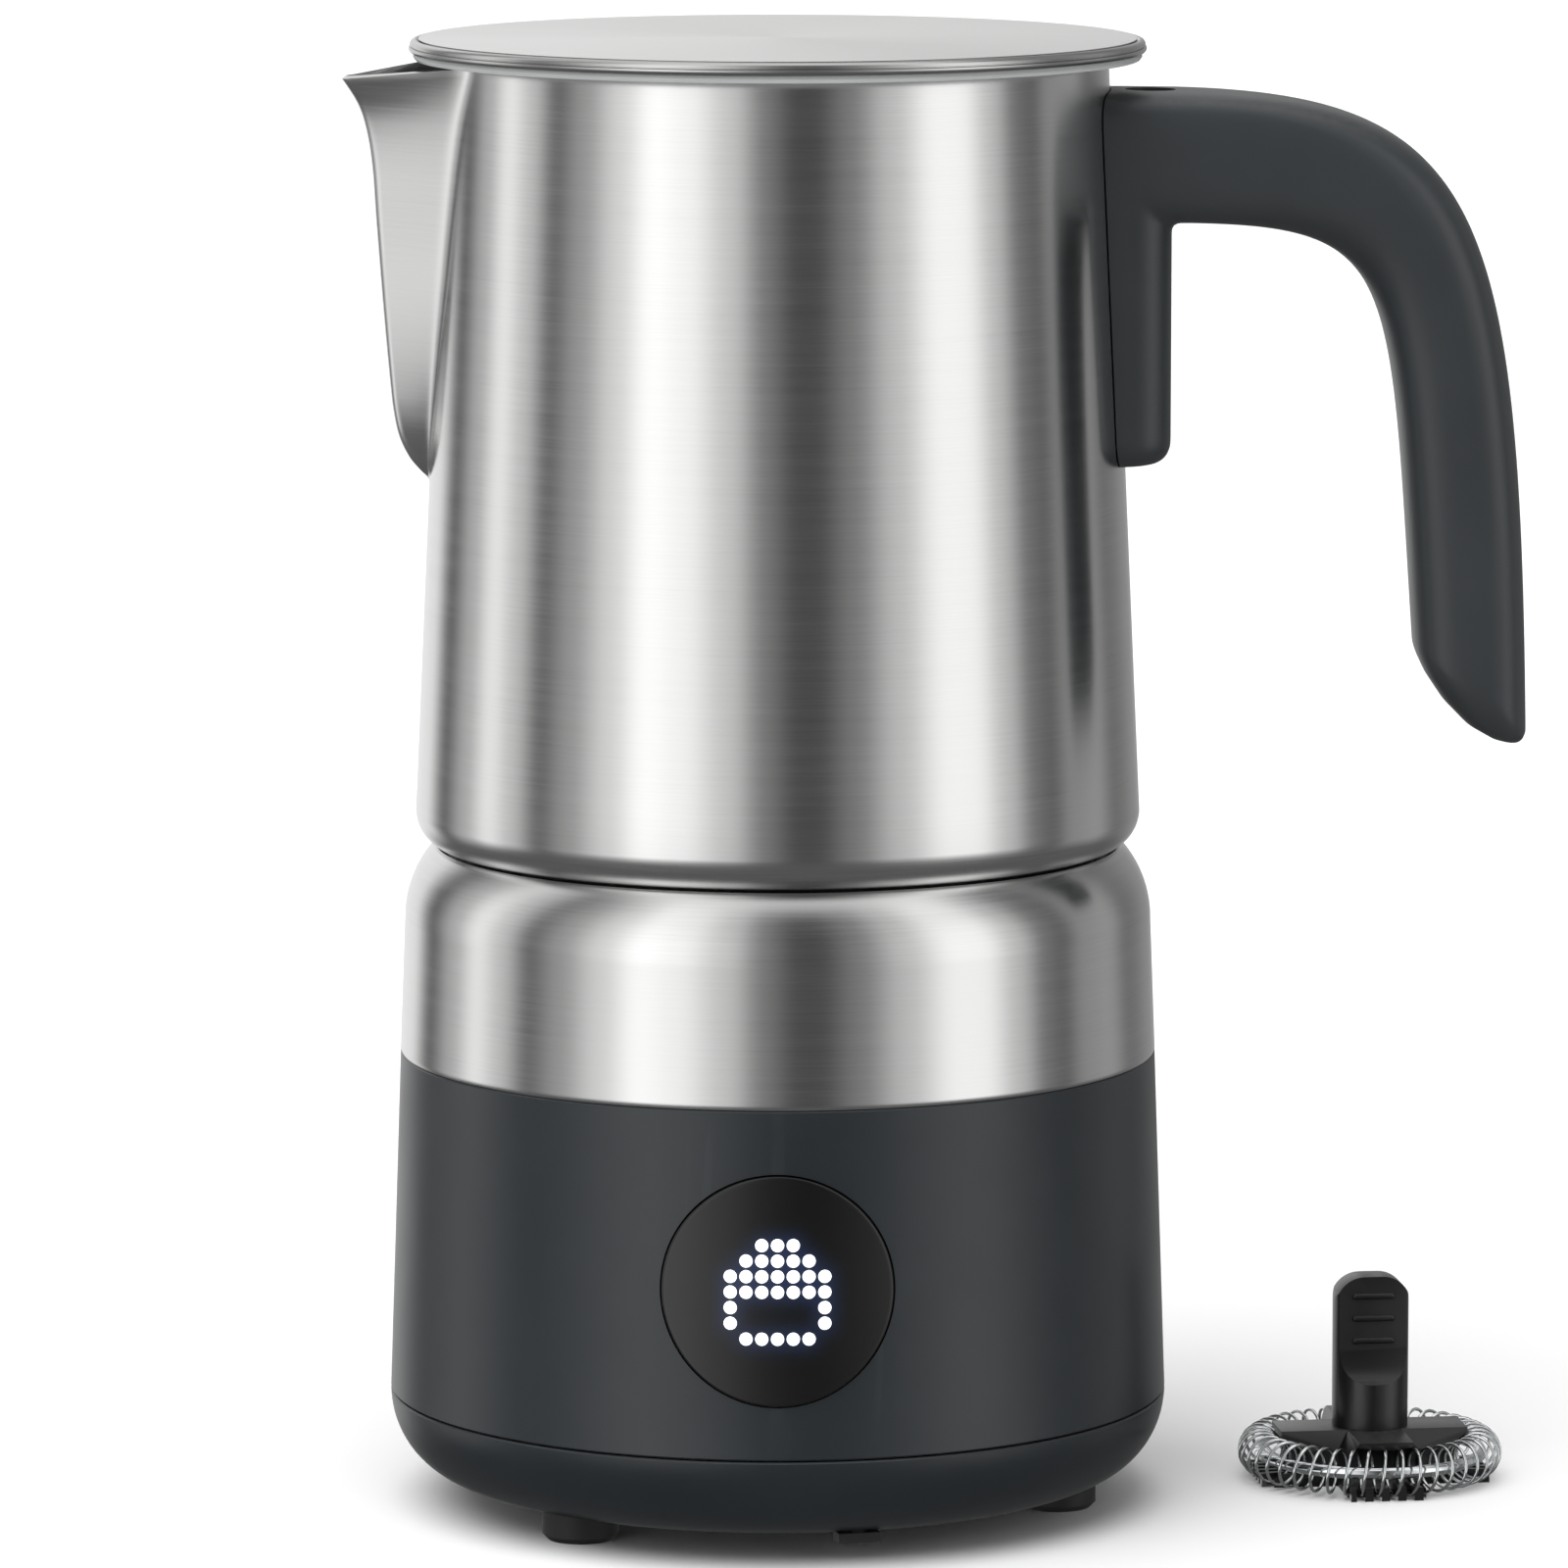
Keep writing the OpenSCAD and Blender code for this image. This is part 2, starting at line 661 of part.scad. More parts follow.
// How far the spout's nose stands out of the wall, with u running from its foot at 0 to the rim at 1
function spout_out(u) = (spout_reach - jug_at(rim_z - 2.6)) / 14.4 * lookup(u, [
    [-0.035, -1], [0.02, 1.3], [0.1, 4.4], [0.22, 5.9], [0.39, 7.2], [0.62, 8.8], [0.75, 9.9],
    [0.835, 10.9], [0.896, 12], [0.955, 14.4], [1.05, 18.6]
]);

// Section of the spout: a round nose between two sides that open at an angle
function spout_ring(u, dz, grow) =
    let (z = rim_z - spout_len * (1 - u) + dz,
         side = 45 - 23 * exp(-8 * max(u, 0)),
         nose = 2.6 + 2.4 * exp(-pow((u - 0.5) / 0.45, 4)),
         r = nose + grow,
         cx = nose - jug_at(z) - spout_out(u),
         back = grow < 0 ? -16 : -20,
         hit = r * cos(side) + (back - cx + r * sin(side)) * tan(side))
    concat(
        [[back, -hit, z]],
        [for (i = [0 : 8]) let (a = 270 - side - (180 - 2 * side) * i / 8) [cx + r * cos(a), r * sin(a), z]],
        [[back, hit, z]]
    );

// Body of the spout. The tip's lip flares and the nose runs down beside the wall.
module spout(grow) {
    middle = [0.01, 0.045, 0.08, 0.12, 0.17, 0.24, 0.33, 0.43, 0.56, 0.69, 0.77, 0.835, 0.896, 0.955];
    loft(concat(
        [spout_ring(-0.026, -1.5 * grow, grow)],
        [for (u = middle) spout_ring(u, 0, grow)],
        [spout_ring(1.05, -grow, grow)]
    ));
}

module jug_shell() {
    corner_r = jug_r - jug_corner;
    mouth_r = jug_at(rim_z);
    color(steel) difference() {
        union() {
            rotate_extrude() polygon(concat(
                [[0, seat_z + foot_recess], [corner_r - 2.6, seat_z + foot_recess], [corner_r - 1.6, seat_z]],
                arc(corner_r, corner_z, jug_corner, jug_corner, -90, 0, 8),
                [[mouth_r, rim_z], [0, rim_z]]
            ));
            spout(0);
        }
        rotate_extrude() polygon(concat(
            [[0, floor_z]],
            arc(corner_r, floor_z + jug_corner - sheet, jug_corner - sheet, jug_corner - sheet, -90, 0, 6),
            [[mouth_r - sheet, rim_z], [mouth_r - sheet, rim_z + 5], [0, rim_z + 5]]
        ));
        spout(-sheet);
        // The spout's edge falls from the rim to the tip
        translate([-jug_mouth_d / 2 + 3, -40, rim_z]) rotate([0, -8.2, 0]) translate([-40, 0, 0]) cube([40, 80, 20]);
        translate([-80, -60, rim_z]) cube([160, 120, 20]);
    }
}

module induction_disc() {
    color("#8f9295") translate([0, 0, seat_z + 0.3]) cylinder(r = jug_r - jug_corner - 3.2, h = foot_recess - 0.3);
}

module whisk_spindle() {
    r = spindle_d / 2;
    color(steel) translate([0, 0, floor_z]) rotate_extrude() polygon([
        [0, 0], [6, 0], [6, 0.5], [5.6, 0.8], [r, 0.8], [r, spindle_h], [r - 0.6, spindle_h + 0.6], [0, spindle_h + 0.6]
    ]);
}

// ---- Handle ----

handle_top = rim_z - 3.9;
bar_z = handle_top - bar_h;
bar_front = jug_at(handle_top) + 8.4;
screw_x = bar_front - 2.8;
grip_end = handle_top - handle_drop;

// Outline of the handle in the XZ plane: the outer curve and the inner curve
outer_curve = [
    [bar_front - 6, handle_top], [handle_reach - 8.5, handle_top],
    [handle_reach - 1.5, handle_top - 9.2], [handle_reach, grip_end]
];
inner_curve = [
    [bar_front - 2, handle_top - arm_h], [handle_reach - 17.6, handle_top - arm_h],
    [handle_reach - 19.4, handle_top - arm_h - 5.1], [handle_reach - grip_t, grip_end + 11]
];

// Cross-section of the grip between an outer and an inner point, rounded at its edges
function grip_ring(a, b, w, k) = [for (i = [0 : 15]) let (
        t = 22.5 * i + 11.25,
        u = sign(cos(t)) * pow(abs(cos(t)), k),
        v = sign(sin(t)) * pow(abs(sin(t)), k),
        mid = (a + b) / 2,
        half = (a - b) / 2)
    [mid[0] + half[0] * u, v * w / 2, mid[1] + half[1] * u]];

module grip() {
    steps = 20;
    width = handle_w - 1;
    end_a = bezier(outer_curve, 1);
    end_b = bezier(inner_curve, 1);
    tip = [(end_b[1] - end_a[1]) * 0.35, -(end_a[0] - end_b[0]) * 0.35];
    rings = concat(
        [for (i = [0 : steps]) let (s = i / steps)
            grip_ring(bezier(outer_curve, s), bezier(inner_curve, s), width - 3 * s, 0.42)],
        [for (k = [1 : 3]) let (q = 1 - pow(k / 3.2, 2.4), m = (end_a + end_b) / 2, off = [-tip[0], tip[1]] * k / 3.4)
            grip_ring(m + (end_a - m) * q + off, m + (end_b - m) * q + off, (width - 3) * sqrt(q), 0.42)]
    );
    mirror([0, 1, 0]) loft(rings);
}

// Bar that lies along the jug's wall, its free corners rounded
module mount_bar(grow) {
    round = 4;
    w = handle_w / 2 + grow;
    x = bar_front + grow;
    translate([0, 0, bar_z]) linear_extrude(bar_h) polygon(concat(
        [[jug_at(handle_top) - 6, -w]],
        arc(x - round, -w + round, round, round, -90, 0, 6),
        arc(x - round, w - round, round, round, 0, 90, 6),
        [[jug_at(handle_top) - 6, w]]
    ));
}

// Jug's outer wall as a solid, grown by g
module jug_cone(g) {
    translate([0, 0, seat_z]) {
        cylinder(r1 = jug_at(seat_z) + g, r2 = jug_at(rim_z + 5) + g, h = jug_h + 5);
    }
}

// Steel bracket welded to the jug: a curved plate with a threaded tab at each end
bracket_low = bar_z + 7;
bracket_high = handle_top - 11;

module bracket_plate(g) {
    intersection() {
        difference() {
            jug_cone(1.2 + g);
            jug_cone(g > 0 ? -2 : 0.02);
        }
        translate([30, -8 - g, bracket_low - g]) cube([40, 16 + 2 * g, bracket_high - bracket_low + 2 * g]);
    }
}

module bracket_tabs(g) {
    for (z = [bracket_low, bracket_high - 2]) {
        translate([jug_at(z) + 0.6 - g, -5 - g, z - g]) {
            cube([screw_x + 2.2 - jug_at(z) - 0.6 + 2 * g, 10 + 2 * g, 2 + 2 * g]);
        }
    }
}

module handle_bracket() {
    color(steel) difference() {
        union() {
            bracket_plate(0);
            bracket_tabs(0);
        }
        for (z = [bracket_low, bracket_high - 2]) translate([screw_x, 0, z - 1]) cylinder(d = 2.5, h = 4);
    }
}

module handle() {
    color(charcoal) difference() {
        union() {
            mount_bar(0);
            grip();
        }
        jug_cone(0.05);
        bracket_plate(0.15);
        bracket_tabs(0.15);
        translate([screw_x, 0, bar_z - 1]) cylinder(d = 2.8, h = bar_h - 4);
        translate([screw_x, 0, bar_z - 1]) cylinder(d = 4.6, h = 4);
        translate([screw_x, 0, handle_top - 7]) cylinder(d = 4.6, h = 10);
        translate([screw_x, 0, handle_top - 1.6]) cylinder(d = 7, h = 10);
    }
}

module handle_screws() {
    color(steel) {
        translate([screw_x, 0, bar_z + 3]) screw(9, 2.4, 4.4, 1.6);
        translate([screw_x, 0, handle_top - 7]) mirror([0, 0, 1]) screw(9, 2.4, 4.4, 1.6);
    }
}

// Plug that hides the upper screw, in a shallow round recess
module handle_plug() {
    color(black) translate([screw_x, 0, 0]) {
        translate([0, 0, handle_top - 1.6]) cylinder(d = 6.8, h = 1);
        translate([0, 0, handle_top - 4.2]) cylinder(d = 4.4, h = 2.7);
    }
}

// ---- Lid ----

lid_r = lid_d / 2;
liner_z = rim_z;

module lid_cover() {
    top = rim_z + lid_h;
    color(satin) rotate_extrude() polygon(concat(
        [[0, top - 0.8], [lid_r - 2, top - 0.8], [lid_r - 2, top - 1.9], [lid_r - 0.3, top - 1.9]],
        arc(lid_r - 1.2, top - 1.2, 1.2, 1.2, -20, 90, 6),
        [[0, top]]
    ));
}

// Plastic underside of the lid, with a lip that shows under the cover and a skirt in the mouth
module lid_liner() {
    top = rim_z + lid_h;
    skirt_r = jug_at(rim_z) - sheet - 1.3;
    color("#b4b6b8") rotate_extrude() polygon([
        [0, liner_z + 0.4], [skirt_r - 1.8, liner_z + 0.4], [skirt_r - 1.8, liner_z - skirt_h],
        [skirt_r - 0.4, liner_z - skirt_h], [skirt_r - 0.4, liner_z - skirt_h + 2.6],
        [skirt_r - 0.9, liner_z - skirt_h + 2.6], [skirt_r - 0.9, liner_z - skirt_h + 5],
        [skirt_r, liner_z - skirt_h + 5], [skirt_r, liner_z], [lid_r - 4.6, liner_z],
        [lid_r - 0.9, liner_z + 0.3], [lid_r - 0.6, liner_z + 0.7], [lid_r - 0.8, top - 1.95],
        [lid_r - 2.1, top - 1.95], [lid_r - 2.1, top - 0.85], [0, top - 0.85]
    ]);
}

module lid_gasket() {
    skirt_r = jug_at(rim_z) - sheet - 1.3;
    color("#d9d9d4") translate([0, 0, liner_z - skirt_h + 2.7]) rotate_extrude() polygon([
        [skirt_r - 0.85, 0], [skirt_r + 0.1, 0], [skirt_r + 0.8, 1.1], [skirt_r + 0.1, 2.2], [skirt_r - 0.85, 2.2]
    ]);
}

// ---- Whisks ----

// Hub with a flat grip tab on top and a bore for the jug's spindle below
module hub() {
    r = hub_d / 2;
    tab = 2.3;
    scoop = 4;
    tab_z = whisk_h - 12.6;
    difference() {
        cylinder(r = r, h = whisk_h);
        for (s = [-1, 1]) {
            translate([-10, s * (tab + 10) - 10, tab_z]) cube([20, 20, 30]);
            translate([0, s * (tab + scoop), tab_z]) rotate([0, 90, 0]) cylinder(r = scoop, h = 20, center = true);
        }
        for (m = [0, 1]) mirror([m, 0, 0]) translate([r - 3.7, -10, whisk_h - 4]) difference() {
            cube([5, 20, 5]);
            translate([0, -1, 0]) rotate([-90, 0, 0]) cylinder(r = 4, h = 22);
        }
        translate([0, 0, -1]) cylinder(r = spindle_d / 2 + 0.07, h = 1 + spindle_h + 2.5);
    }
    for (s = [-1, 1], i = [0 : 2]) {
        translate([-2.9, s * tab - 0.35, whisk_h - 3.5 - i * 3.2]) cube([5.8, 0.7, 0.7]);
    }
}

// Four arms with chamfered upper edges and a pocket for a magnet under each
module arms(end) {
    difference() {
        for (a = [0, 90]) rotate(a) rotate([90, 0, 90]) translate([0, 0, -end]) {
            linear_extrude(2 * end) polygon([
                [-arm_w / 2, 0], [arm_w / 2, 0], [arm_w / 2, arm_top - 2.6], [arm_w / 2 - 1.6, arm_top],
                [-arm_w / 2 + 1.6, arm_top], [-arm_w / 2, arm_top - 2.6]
            ]);
        }
        at_angles([0 : 90 : 270], whisk_magnet_r) translate([0, 0, -1]) cylinder(r = 2.55, h = 4.4);
        translate([0, 0, -1]) cylinder(r = spindle_d / 2 + 0.07, h = 20);
    }
}

// Torus about the whisk's axis
module hoop(r, thick) {
    translate([0, 0, tube_z]) rotate_extrude() translate([r, 0]) circle(r = thick, $fn = 24);
}

module whisk_place() {
    translate([whisk_x, whisk_y, 0]) rotate(whisk_turn) children();
}

// Hub of the frothing whisk. Its arms stop short of the coil, and a lip under each one is a comb
// that the coil's turns pass through.
module whisk_hub() {
    turn = 360 / coil_turns;
    slot = coil_wire + 0.7;
    comb_r = ring_r - coil_d / 2 + 0.3;
    reach = ceil(asin(arm_w / 2 / comb_r) / turn);
    color(black) whisk_place() {
        difference() {
            arms(plate_end);
            hoop(ring_r, coil_d / 2 + 0.15);
        }
        difference() {
            intersection() {
                arms(lip_end);
                translate([-30, -30, -1]) cube([60, 60, 1 + lip_h]);
            }
            for (a = [0 : 90 : 270], i = [-reach : reach]) rotate(a + (i + 0.25) * turn) {
                translate([comb_r, -slot / 2, -1]) cube([10, slot, lip_h + 2]);
            }
        }
        hub();
    }
}

module whisk_ring() {
    color(steel) whisk_place() hoop(ring_r + 0.3, 0.85);
}

// Spring wound round the ring: a wire on a torus that closes on itself
module whisk_coil() {
    steps = coil_turns * 10;
    r = (coil_d - coil_wire) / 2;
    w = coil_wire / 2;
    points = [for (i = [0 : steps - 1]) let (a = 360 * i / steps, t = 180 + 36 * i)
        for (j = [0 : 3]) let (
            q = ring_r + (r + w * cos(90 * j)) * cos(t), z = tube_z + (r + w * cos(90 * j)) * sin(t), s = w * sin(90 * j))
        [q * cos(a) - s * sin(a), q * sin(a) + s * cos(a), z]];
    faces = [for (i = [0 : steps - 1]) for (j = [0 : 3]) let (
            p = i * 4 + j, q = i * 4 + (j + 1) % 4, pn = ((i + 1) % steps) * 4 + j, qn = ((i + 1) % steps) * 4 + (j + 1) % 4)
        each [[p, q, qn], [p, qn, pn]]];
    color(steel) whisk_place() polyhedron(points = points, faces = faces);
}

module magnets() {
    at_angles([0 : 90 : 270], whisk_magnet_r) translate([0, 0, 0.3]) cylinder(r = 2.5, h = 3);
}

module whisk_magnets() {
    color("#b9bcc0") whisk_place() magnets();
}

module stirrer_hub() {
    color(black) translate([0, 0, stirrer_z]) {
        difference() {
            arms(arm_end);
            translate([0, 0, tube_z - 1.55]) ring(ring_r + 5, ring_r - 1.25, 3.1);
        }
        hub();
    }
}

// Plain mixing ring with small paddles
module stirrer_ring() {
    color("#2a2c2f") translate([0, 0, stirrer_z]) difference() {
        union() {
            translate([0, 0, tube_z - 1.5]) ring(whisk_d / 2 - 1.4, ring_r - 1.2, 3);
            for (a = [0 : 90 : 270], b = [30 : 15 : 60]) rotate(a + b) translate([ring_r, -0.6, 0.6]) cube([coil_d / 2 - 0.1, 1.2, coil_d]);
        }
        for (a = [0 : 90 : 270]) rotate(a) translate([ring_r - 3, -arm_w / 2 - 0.1, tube_z + 1.5]) cube([9, arm_w + 0.2, 6]);
    }
}

module stirrer_magnets() {
    color("#b9bcc0") translate([0, 0, stirrer_z]) magnets();
}

bottom_pan();
pan_screws();
rubber_feet();
anti_tip_pad();
base_body();
cord_gland();
power_board();
board_screws();
heat_sink();
filter_capacitor();
choke_coil();
mains_terminal();
display_frame();
frame_screws();
display_board();
led_matrix();
light_grid();
button_switch();
button_springs();
button_cap();
top_deck();
deck_screws();
shoulder_shell();
coil_carrier();
induction_coil();
ferrite_bars();
carrier_screws();
sensor_spring();
sensor_plunger();
motor_bracket();
motor_screws();
motor_can();
motor_magnets();
motor_end_cap();
motor_shaft();
armature();
magnet_rotor();
drive_magnets();
jug_shell();
induction_disc();
whisk_spindle();
handle_bracket();
handle();
handle_screws();
handle_plug();
lid_cover();
lid_liner();
lid_gasket();
stirrer_hub();
stirrer_ring();
stirrer_magnets();
whisk_hub();
whisk_ring();
whisk_coil();
whisk_magnets();
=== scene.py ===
import json
import math

import bmesh
import bpy
from mathutils import Matrix, Vector


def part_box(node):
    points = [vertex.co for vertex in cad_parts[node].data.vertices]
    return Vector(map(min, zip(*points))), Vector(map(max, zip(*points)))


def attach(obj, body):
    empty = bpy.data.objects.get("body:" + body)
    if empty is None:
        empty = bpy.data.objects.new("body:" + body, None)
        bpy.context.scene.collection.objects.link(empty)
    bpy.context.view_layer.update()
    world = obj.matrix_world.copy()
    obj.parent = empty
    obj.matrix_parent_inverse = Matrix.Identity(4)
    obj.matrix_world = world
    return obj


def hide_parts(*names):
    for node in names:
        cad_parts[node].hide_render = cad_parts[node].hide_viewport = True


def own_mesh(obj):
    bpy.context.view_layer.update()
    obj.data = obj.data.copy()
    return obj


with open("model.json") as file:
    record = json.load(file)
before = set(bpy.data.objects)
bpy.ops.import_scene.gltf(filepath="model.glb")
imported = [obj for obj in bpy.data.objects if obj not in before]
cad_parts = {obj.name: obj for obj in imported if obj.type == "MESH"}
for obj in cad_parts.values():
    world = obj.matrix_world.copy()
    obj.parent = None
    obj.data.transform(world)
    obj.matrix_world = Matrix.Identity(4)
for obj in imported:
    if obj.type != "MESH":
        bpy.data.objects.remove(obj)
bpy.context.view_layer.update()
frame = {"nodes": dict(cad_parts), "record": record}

# Lengths below are in millimetres, and mm turns them into metres
mm = 0.001


def shareOf(table, at):
    # smooth curve through a table of (place, value) pairs
    places = [row[0] for row in table]
    values = [row[1] for row in table]
    if at <= places[0]:
        return values[0]
    if at >= places[-1]:
        return values[-1]
    k = max(i for i, place in enumerate(places) if place <= at)

    def slope(i):
        low, high = max(i - 1, 0), min(i + 1, len(table) - 1)
        return (values[high] - values[low]) / (places[high] - places[low])

    span = places[k + 1] - places[k]
    t = (at - places[k]) / span
    start = (2 * t ** 3 - 3 * t ** 2 + 1) * values[k] + (t ** 3 - 2 * t ** 2 + t) * span * slope(k)
    end = (3 * t ** 2 - 2 * t ** 3) * values[k + 1] + (t ** 3 - t ** 2) * span * slope(k + 1)
    return start + end


def smoothStep(low, high, x):
    t = min(max((x - low) / (high - low), 0), 1)
    return t * t * (3 - 2 * t)


def bezier(points, t):
    s = 1 - t
    weights = (s ** 3, 3 * s * s * t, 3 * s * t * t, t ** 3)
    return tuple(sum(w * p[i] for w, p in zip(weights, points)) for i in (0, 1))


def arc(cx, cy, r, start, end, steps):
    angles = [math.radians(start + (end - start) * i / steps) for i in range(steps + 1)]
    return [(cx + r * math.cos(a), cy + r * math.sin(a)) for a in angles]


def makeObject(name, points, faces):
    # a mesh object from points in millimetres
    mesh = bpy.data.meshes.new(name)
    mesh.from_pydata([Vector(p) * mm for p in points], [], faces)
    mesh.validate()
    obj = bpy.data.objects.new(name, mesh)
    bpy.context.scene.collection.objects.link(obj)
    return obj


def loftRings(name, rings, closeEnds=True):
    # a closed mesh through rings of equal length, each a list of (x, y, z)
    n = len(rings[0])
    points = [p for ring in rings for p in ring]
    faces = []
    for i in range(len(rings) - 1):
        for j in range(n):
            k = (j + 1) % n
            faces.append((i * n + j, i * n + k, (i + 1) * n + k, (i + 1) * n + j))
    if closeEnds:
        faces.append(tuple(reversed(range(n))))
        faces.append(tuple((len(rings) - 1) * n + j for j in range(n)))
    obj = makeObject(name, points, faces)
    outward(obj)
    return obj


def outward(obj):
    bm = bmesh.new()
    bm.from_mesh(obj.data)
    bmesh.ops.recalc_face_normals(bm, faces=bm.faces)
    bm.to_mesh(obj.data)
    bm.free()


def lathe(name, profile, sides=256):
    # a closed solid of revolution about Z through (radius, height) points
    points, faces, rows = [], [], []
    for r, z in profile:
        if r < 1e-6:
            rows.append([len(points)])
            points.append((0, 0, z))
        else:
            rows.append([len(points) + j for j in range(sides)])
            for j in range(sides):
                a = 2 * math.pi * j / sides
                points.append((r * math.cos(a), r * math.sin(a), z))
    rows.append(rows[0])
    for low, high in zip(rows, rows[1:]):
        for j in range(sides):
            k = (j + 1) % sides
            if len(low) == 1 and len(high) == 1:
                continue
            if len(low) == 1:
                faces.append((low[0], high[k], high[j]))
            elif len(high) == 1:
                faces.append((low[j], low[k], high[0]))
            else:
                faces.append((low[j], low[k], high[k], high[j]))
    obj = makeObject(name, points, faces)
    outward(obj)
    return obj


def block(name, low, high):
    # a box between two corners, used for cutting
    x, y, z = zip(low, high)
    points = [(x[i], y[j], z[k]) for i in (0, 1) for j in (0, 1) for k in (0, 1)]
    faces = [(0, 1, 3, 2), (4, 6, 7, 5), (0, 4, 5, 1), (2, 3, 7, 6), (0, 2, 6, 4), (1, 5, 7, 3)]
    obj = makeObject(name, points, faces)
    outward(obj)
    return obj


def rod(name, r, start, end, sides=96):
    # a straight bar of radius r between two points, used for cutting
    axis = Vector(end) - Vector(start)
    turn = axis.to_track_quat("Z", "Y").to_matrix()
    rings = []
    for at in (Vector(start), Vector(end)):
        rings.append([
            tuple(at + turn @ Vector((r * math.cos(a), r * math.sin(a), 0)))
            for a in (2 * math.pi * j / sides for j in range(sides))
        ])
    return loftRings(name, rings)


def applyModifiers(obj):
    graph = bpy.context.evaluated_depsgraph_get()
    mesh = bpy.data.meshes.new_from_object(obj.evaluated_get(graph))
    obj.modifiers.clear()
    obj.data = mesh


def combine(obj, others, operation):
    # joins others to obj or cuts them out of it, and removes them
    for other in others:
        step = obj.modifiers.new(operation.lower(), "BOOLEAN")
        step.operation = operation
        step.solver = "EXACT"
        step.object = other
        bpy.context.view_layer.update()
        applyModifiers(obj)
        bpy.data.objects.remove(other)


def mergeMeshes(objects):
    # puts the meshes of several objects into the first one
    bm = bmesh.new()
    for obj in objects:
        bm.from_mesh(obj.data)
    bm.to_mesh(objects[0].data)
    bm.free()
    for obj in objects[1:]:
        bpy.data.objects.remove(obj)
    return objects[0]


def softenEdges(obj, width, angle=35, segments=3):
    step = obj.modifiers.new("edges", "BEVEL")
    step.width = width * mm
    step.segments = segments
    step.limit_method = "ANGLE"
    step.angle_limit = math.radians(angle)
    step.use_clamp_overlap = True
    step.miter_outer = "MITER_ARC"
    applyModifiers(obj)


def shade(obj, angle=38):
    obj.data.shade_smooth()
    obj.data.set_sharp_from_angle(angle=math.radians(angle))


def finishPiece(obj, body, material, nodes=()):
    # gives a piece its material, its body, and the CAD nodes that it stands for
    obj.data.materials.clear()
    obj.data.materials.append(material)
    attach(obj, body)
    if nodes:
        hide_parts(*nodes)
    print("made", obj.name)


def makeGroup(name, inputs, outputs):
    group = bpy.data.node_groups.new(name, "ShaderNodeTree")
    for label, kind, value in inputs:
        socket = group.interface.new_socket(label, in_out="INPUT", socket_type="NodeSocket" + kind)
        socket.default_value = value
    for label, kind in outputs:
        group.interface.new_socket(label, in_out="OUTPUT", socket_type="NodeSocket" + kind)
    start = group.nodes.new("NodeGroupInput")
    end = group.nodes.new("NodeGroupOutput")
    return group, start, end


def addNode(tree, kind, values=None, **settings):
    # a node with its settings, its input values by name or place, and its links
    node = tree.nodes.new("ShaderNode" + kind)
    for key, value in settings.items():
        setattr(node, key, value)
    for key, value in (values or {}).items():
        if isinstance(value, bpy.types.NodeSocket):
            tree.links.new(value, node.inputs[key])
        else:
            node.inputs[key].default_value = value
    return node


def mathNode(tree, operation, a, b=0.0, clamp=False):
    return addNode(tree, "Math", {0: a, 1: b}, operation=operation, use_clamp=clamp).outputs[0]


def makeRingBrush():
    # fine lines that run round the Z axis, as left by a brush on a turning part
    group, start, end = makeGroup(
        "ringBrush",
        [("Lines per mm", "Float", 5.0), ("Depth", "Float", 1.0)],
        [("Height", "Float"), ("Streak", "Float")],
    )
    place = addNode(group, "TexCoord").outputs["Object"]
    parts = addNode(group, "SeparateXYZ", {0: place}).outputs
    flat = addNode(group, "CombineXYZ", {0: parts[0], 1: parts[1], 2: 0.0}).outputs[0]
    around = addNode(group, "VectorMath", {0: flat}, operation="NORMALIZE").outputs[0]
    spread = addNode(group, "VectorMath", {0: around, "Scale": 2.2}, operation="SCALE").outputs[0]
    rise = mathNode(group, "MULTIPLY", parts[2], mathNode(group, "MULTIPLY", start.outputs[0], 1000.0))
    lift = addNode(group, "CombineXYZ", {2: rise}).outputs[0]
    where = addNode(group, "VectorMath", {0: spread, 1: lift}, operation="ADD").outputs[0]
    fine = addNode(group, "TexNoise", {"Vector": where, "Scale": 1.0, "Detail": 3.0, "Roughness": 0.7})
    broadLift = addNode(group, "VectorMath", {0: where, 1: (0.6, 0.6, 0.12)}, operation="MULTIPLY").outputs[0]
    broad = addNode(group, "TexNoise", {"Vector": broadLift, "Scale": 1.0, "Detail": 2.0, "Roughness": 0.5})
    height = mathNode(group, "MULTIPLY", fine.outputs[0], start.outputs[1])
    both = mathNode(group, "ADD", mathNode(group, "MULTIPLY", fine.outputs[0], 0.6),
                    mathNode(group, "MULTIPLY", broad.outputs[0], 0.4))
    group.links.new(height, end.inputs[0])
    group.links.new(both, end.inputs[1])
    return group


def makeMouldGrain():
    # fine grain of a moulded plastic or rubber surface
    group, start, end = makeGroup(
        "mouldGrain",
        [("Grain size mm", "Float", 0.25), ("Depth", "Float", 1.0)],
        [("Height", "Float"), ("Patches", "Float")],
    )
    place = addNode(group, "TexCoord").outputs["Object"]
    density = mathNode(group, "DIVIDE", 1000.0, start.outputs[0])
    grain = addNode(group, "TexNoise", {"Vector": place, "Scale": density, "Detail": 2.0})
    patches = addNode(group, "TexNoise", {"Vector": place, "Scale": 45.0, "Detail": 4.0})
    group.links.new(mathNode(group, "MULTIPLY", grain.outputs[0], start.outputs[1]), end.inputs[0])
    group.links.new(patches.outputs[0], end.inputs[1])
    return group


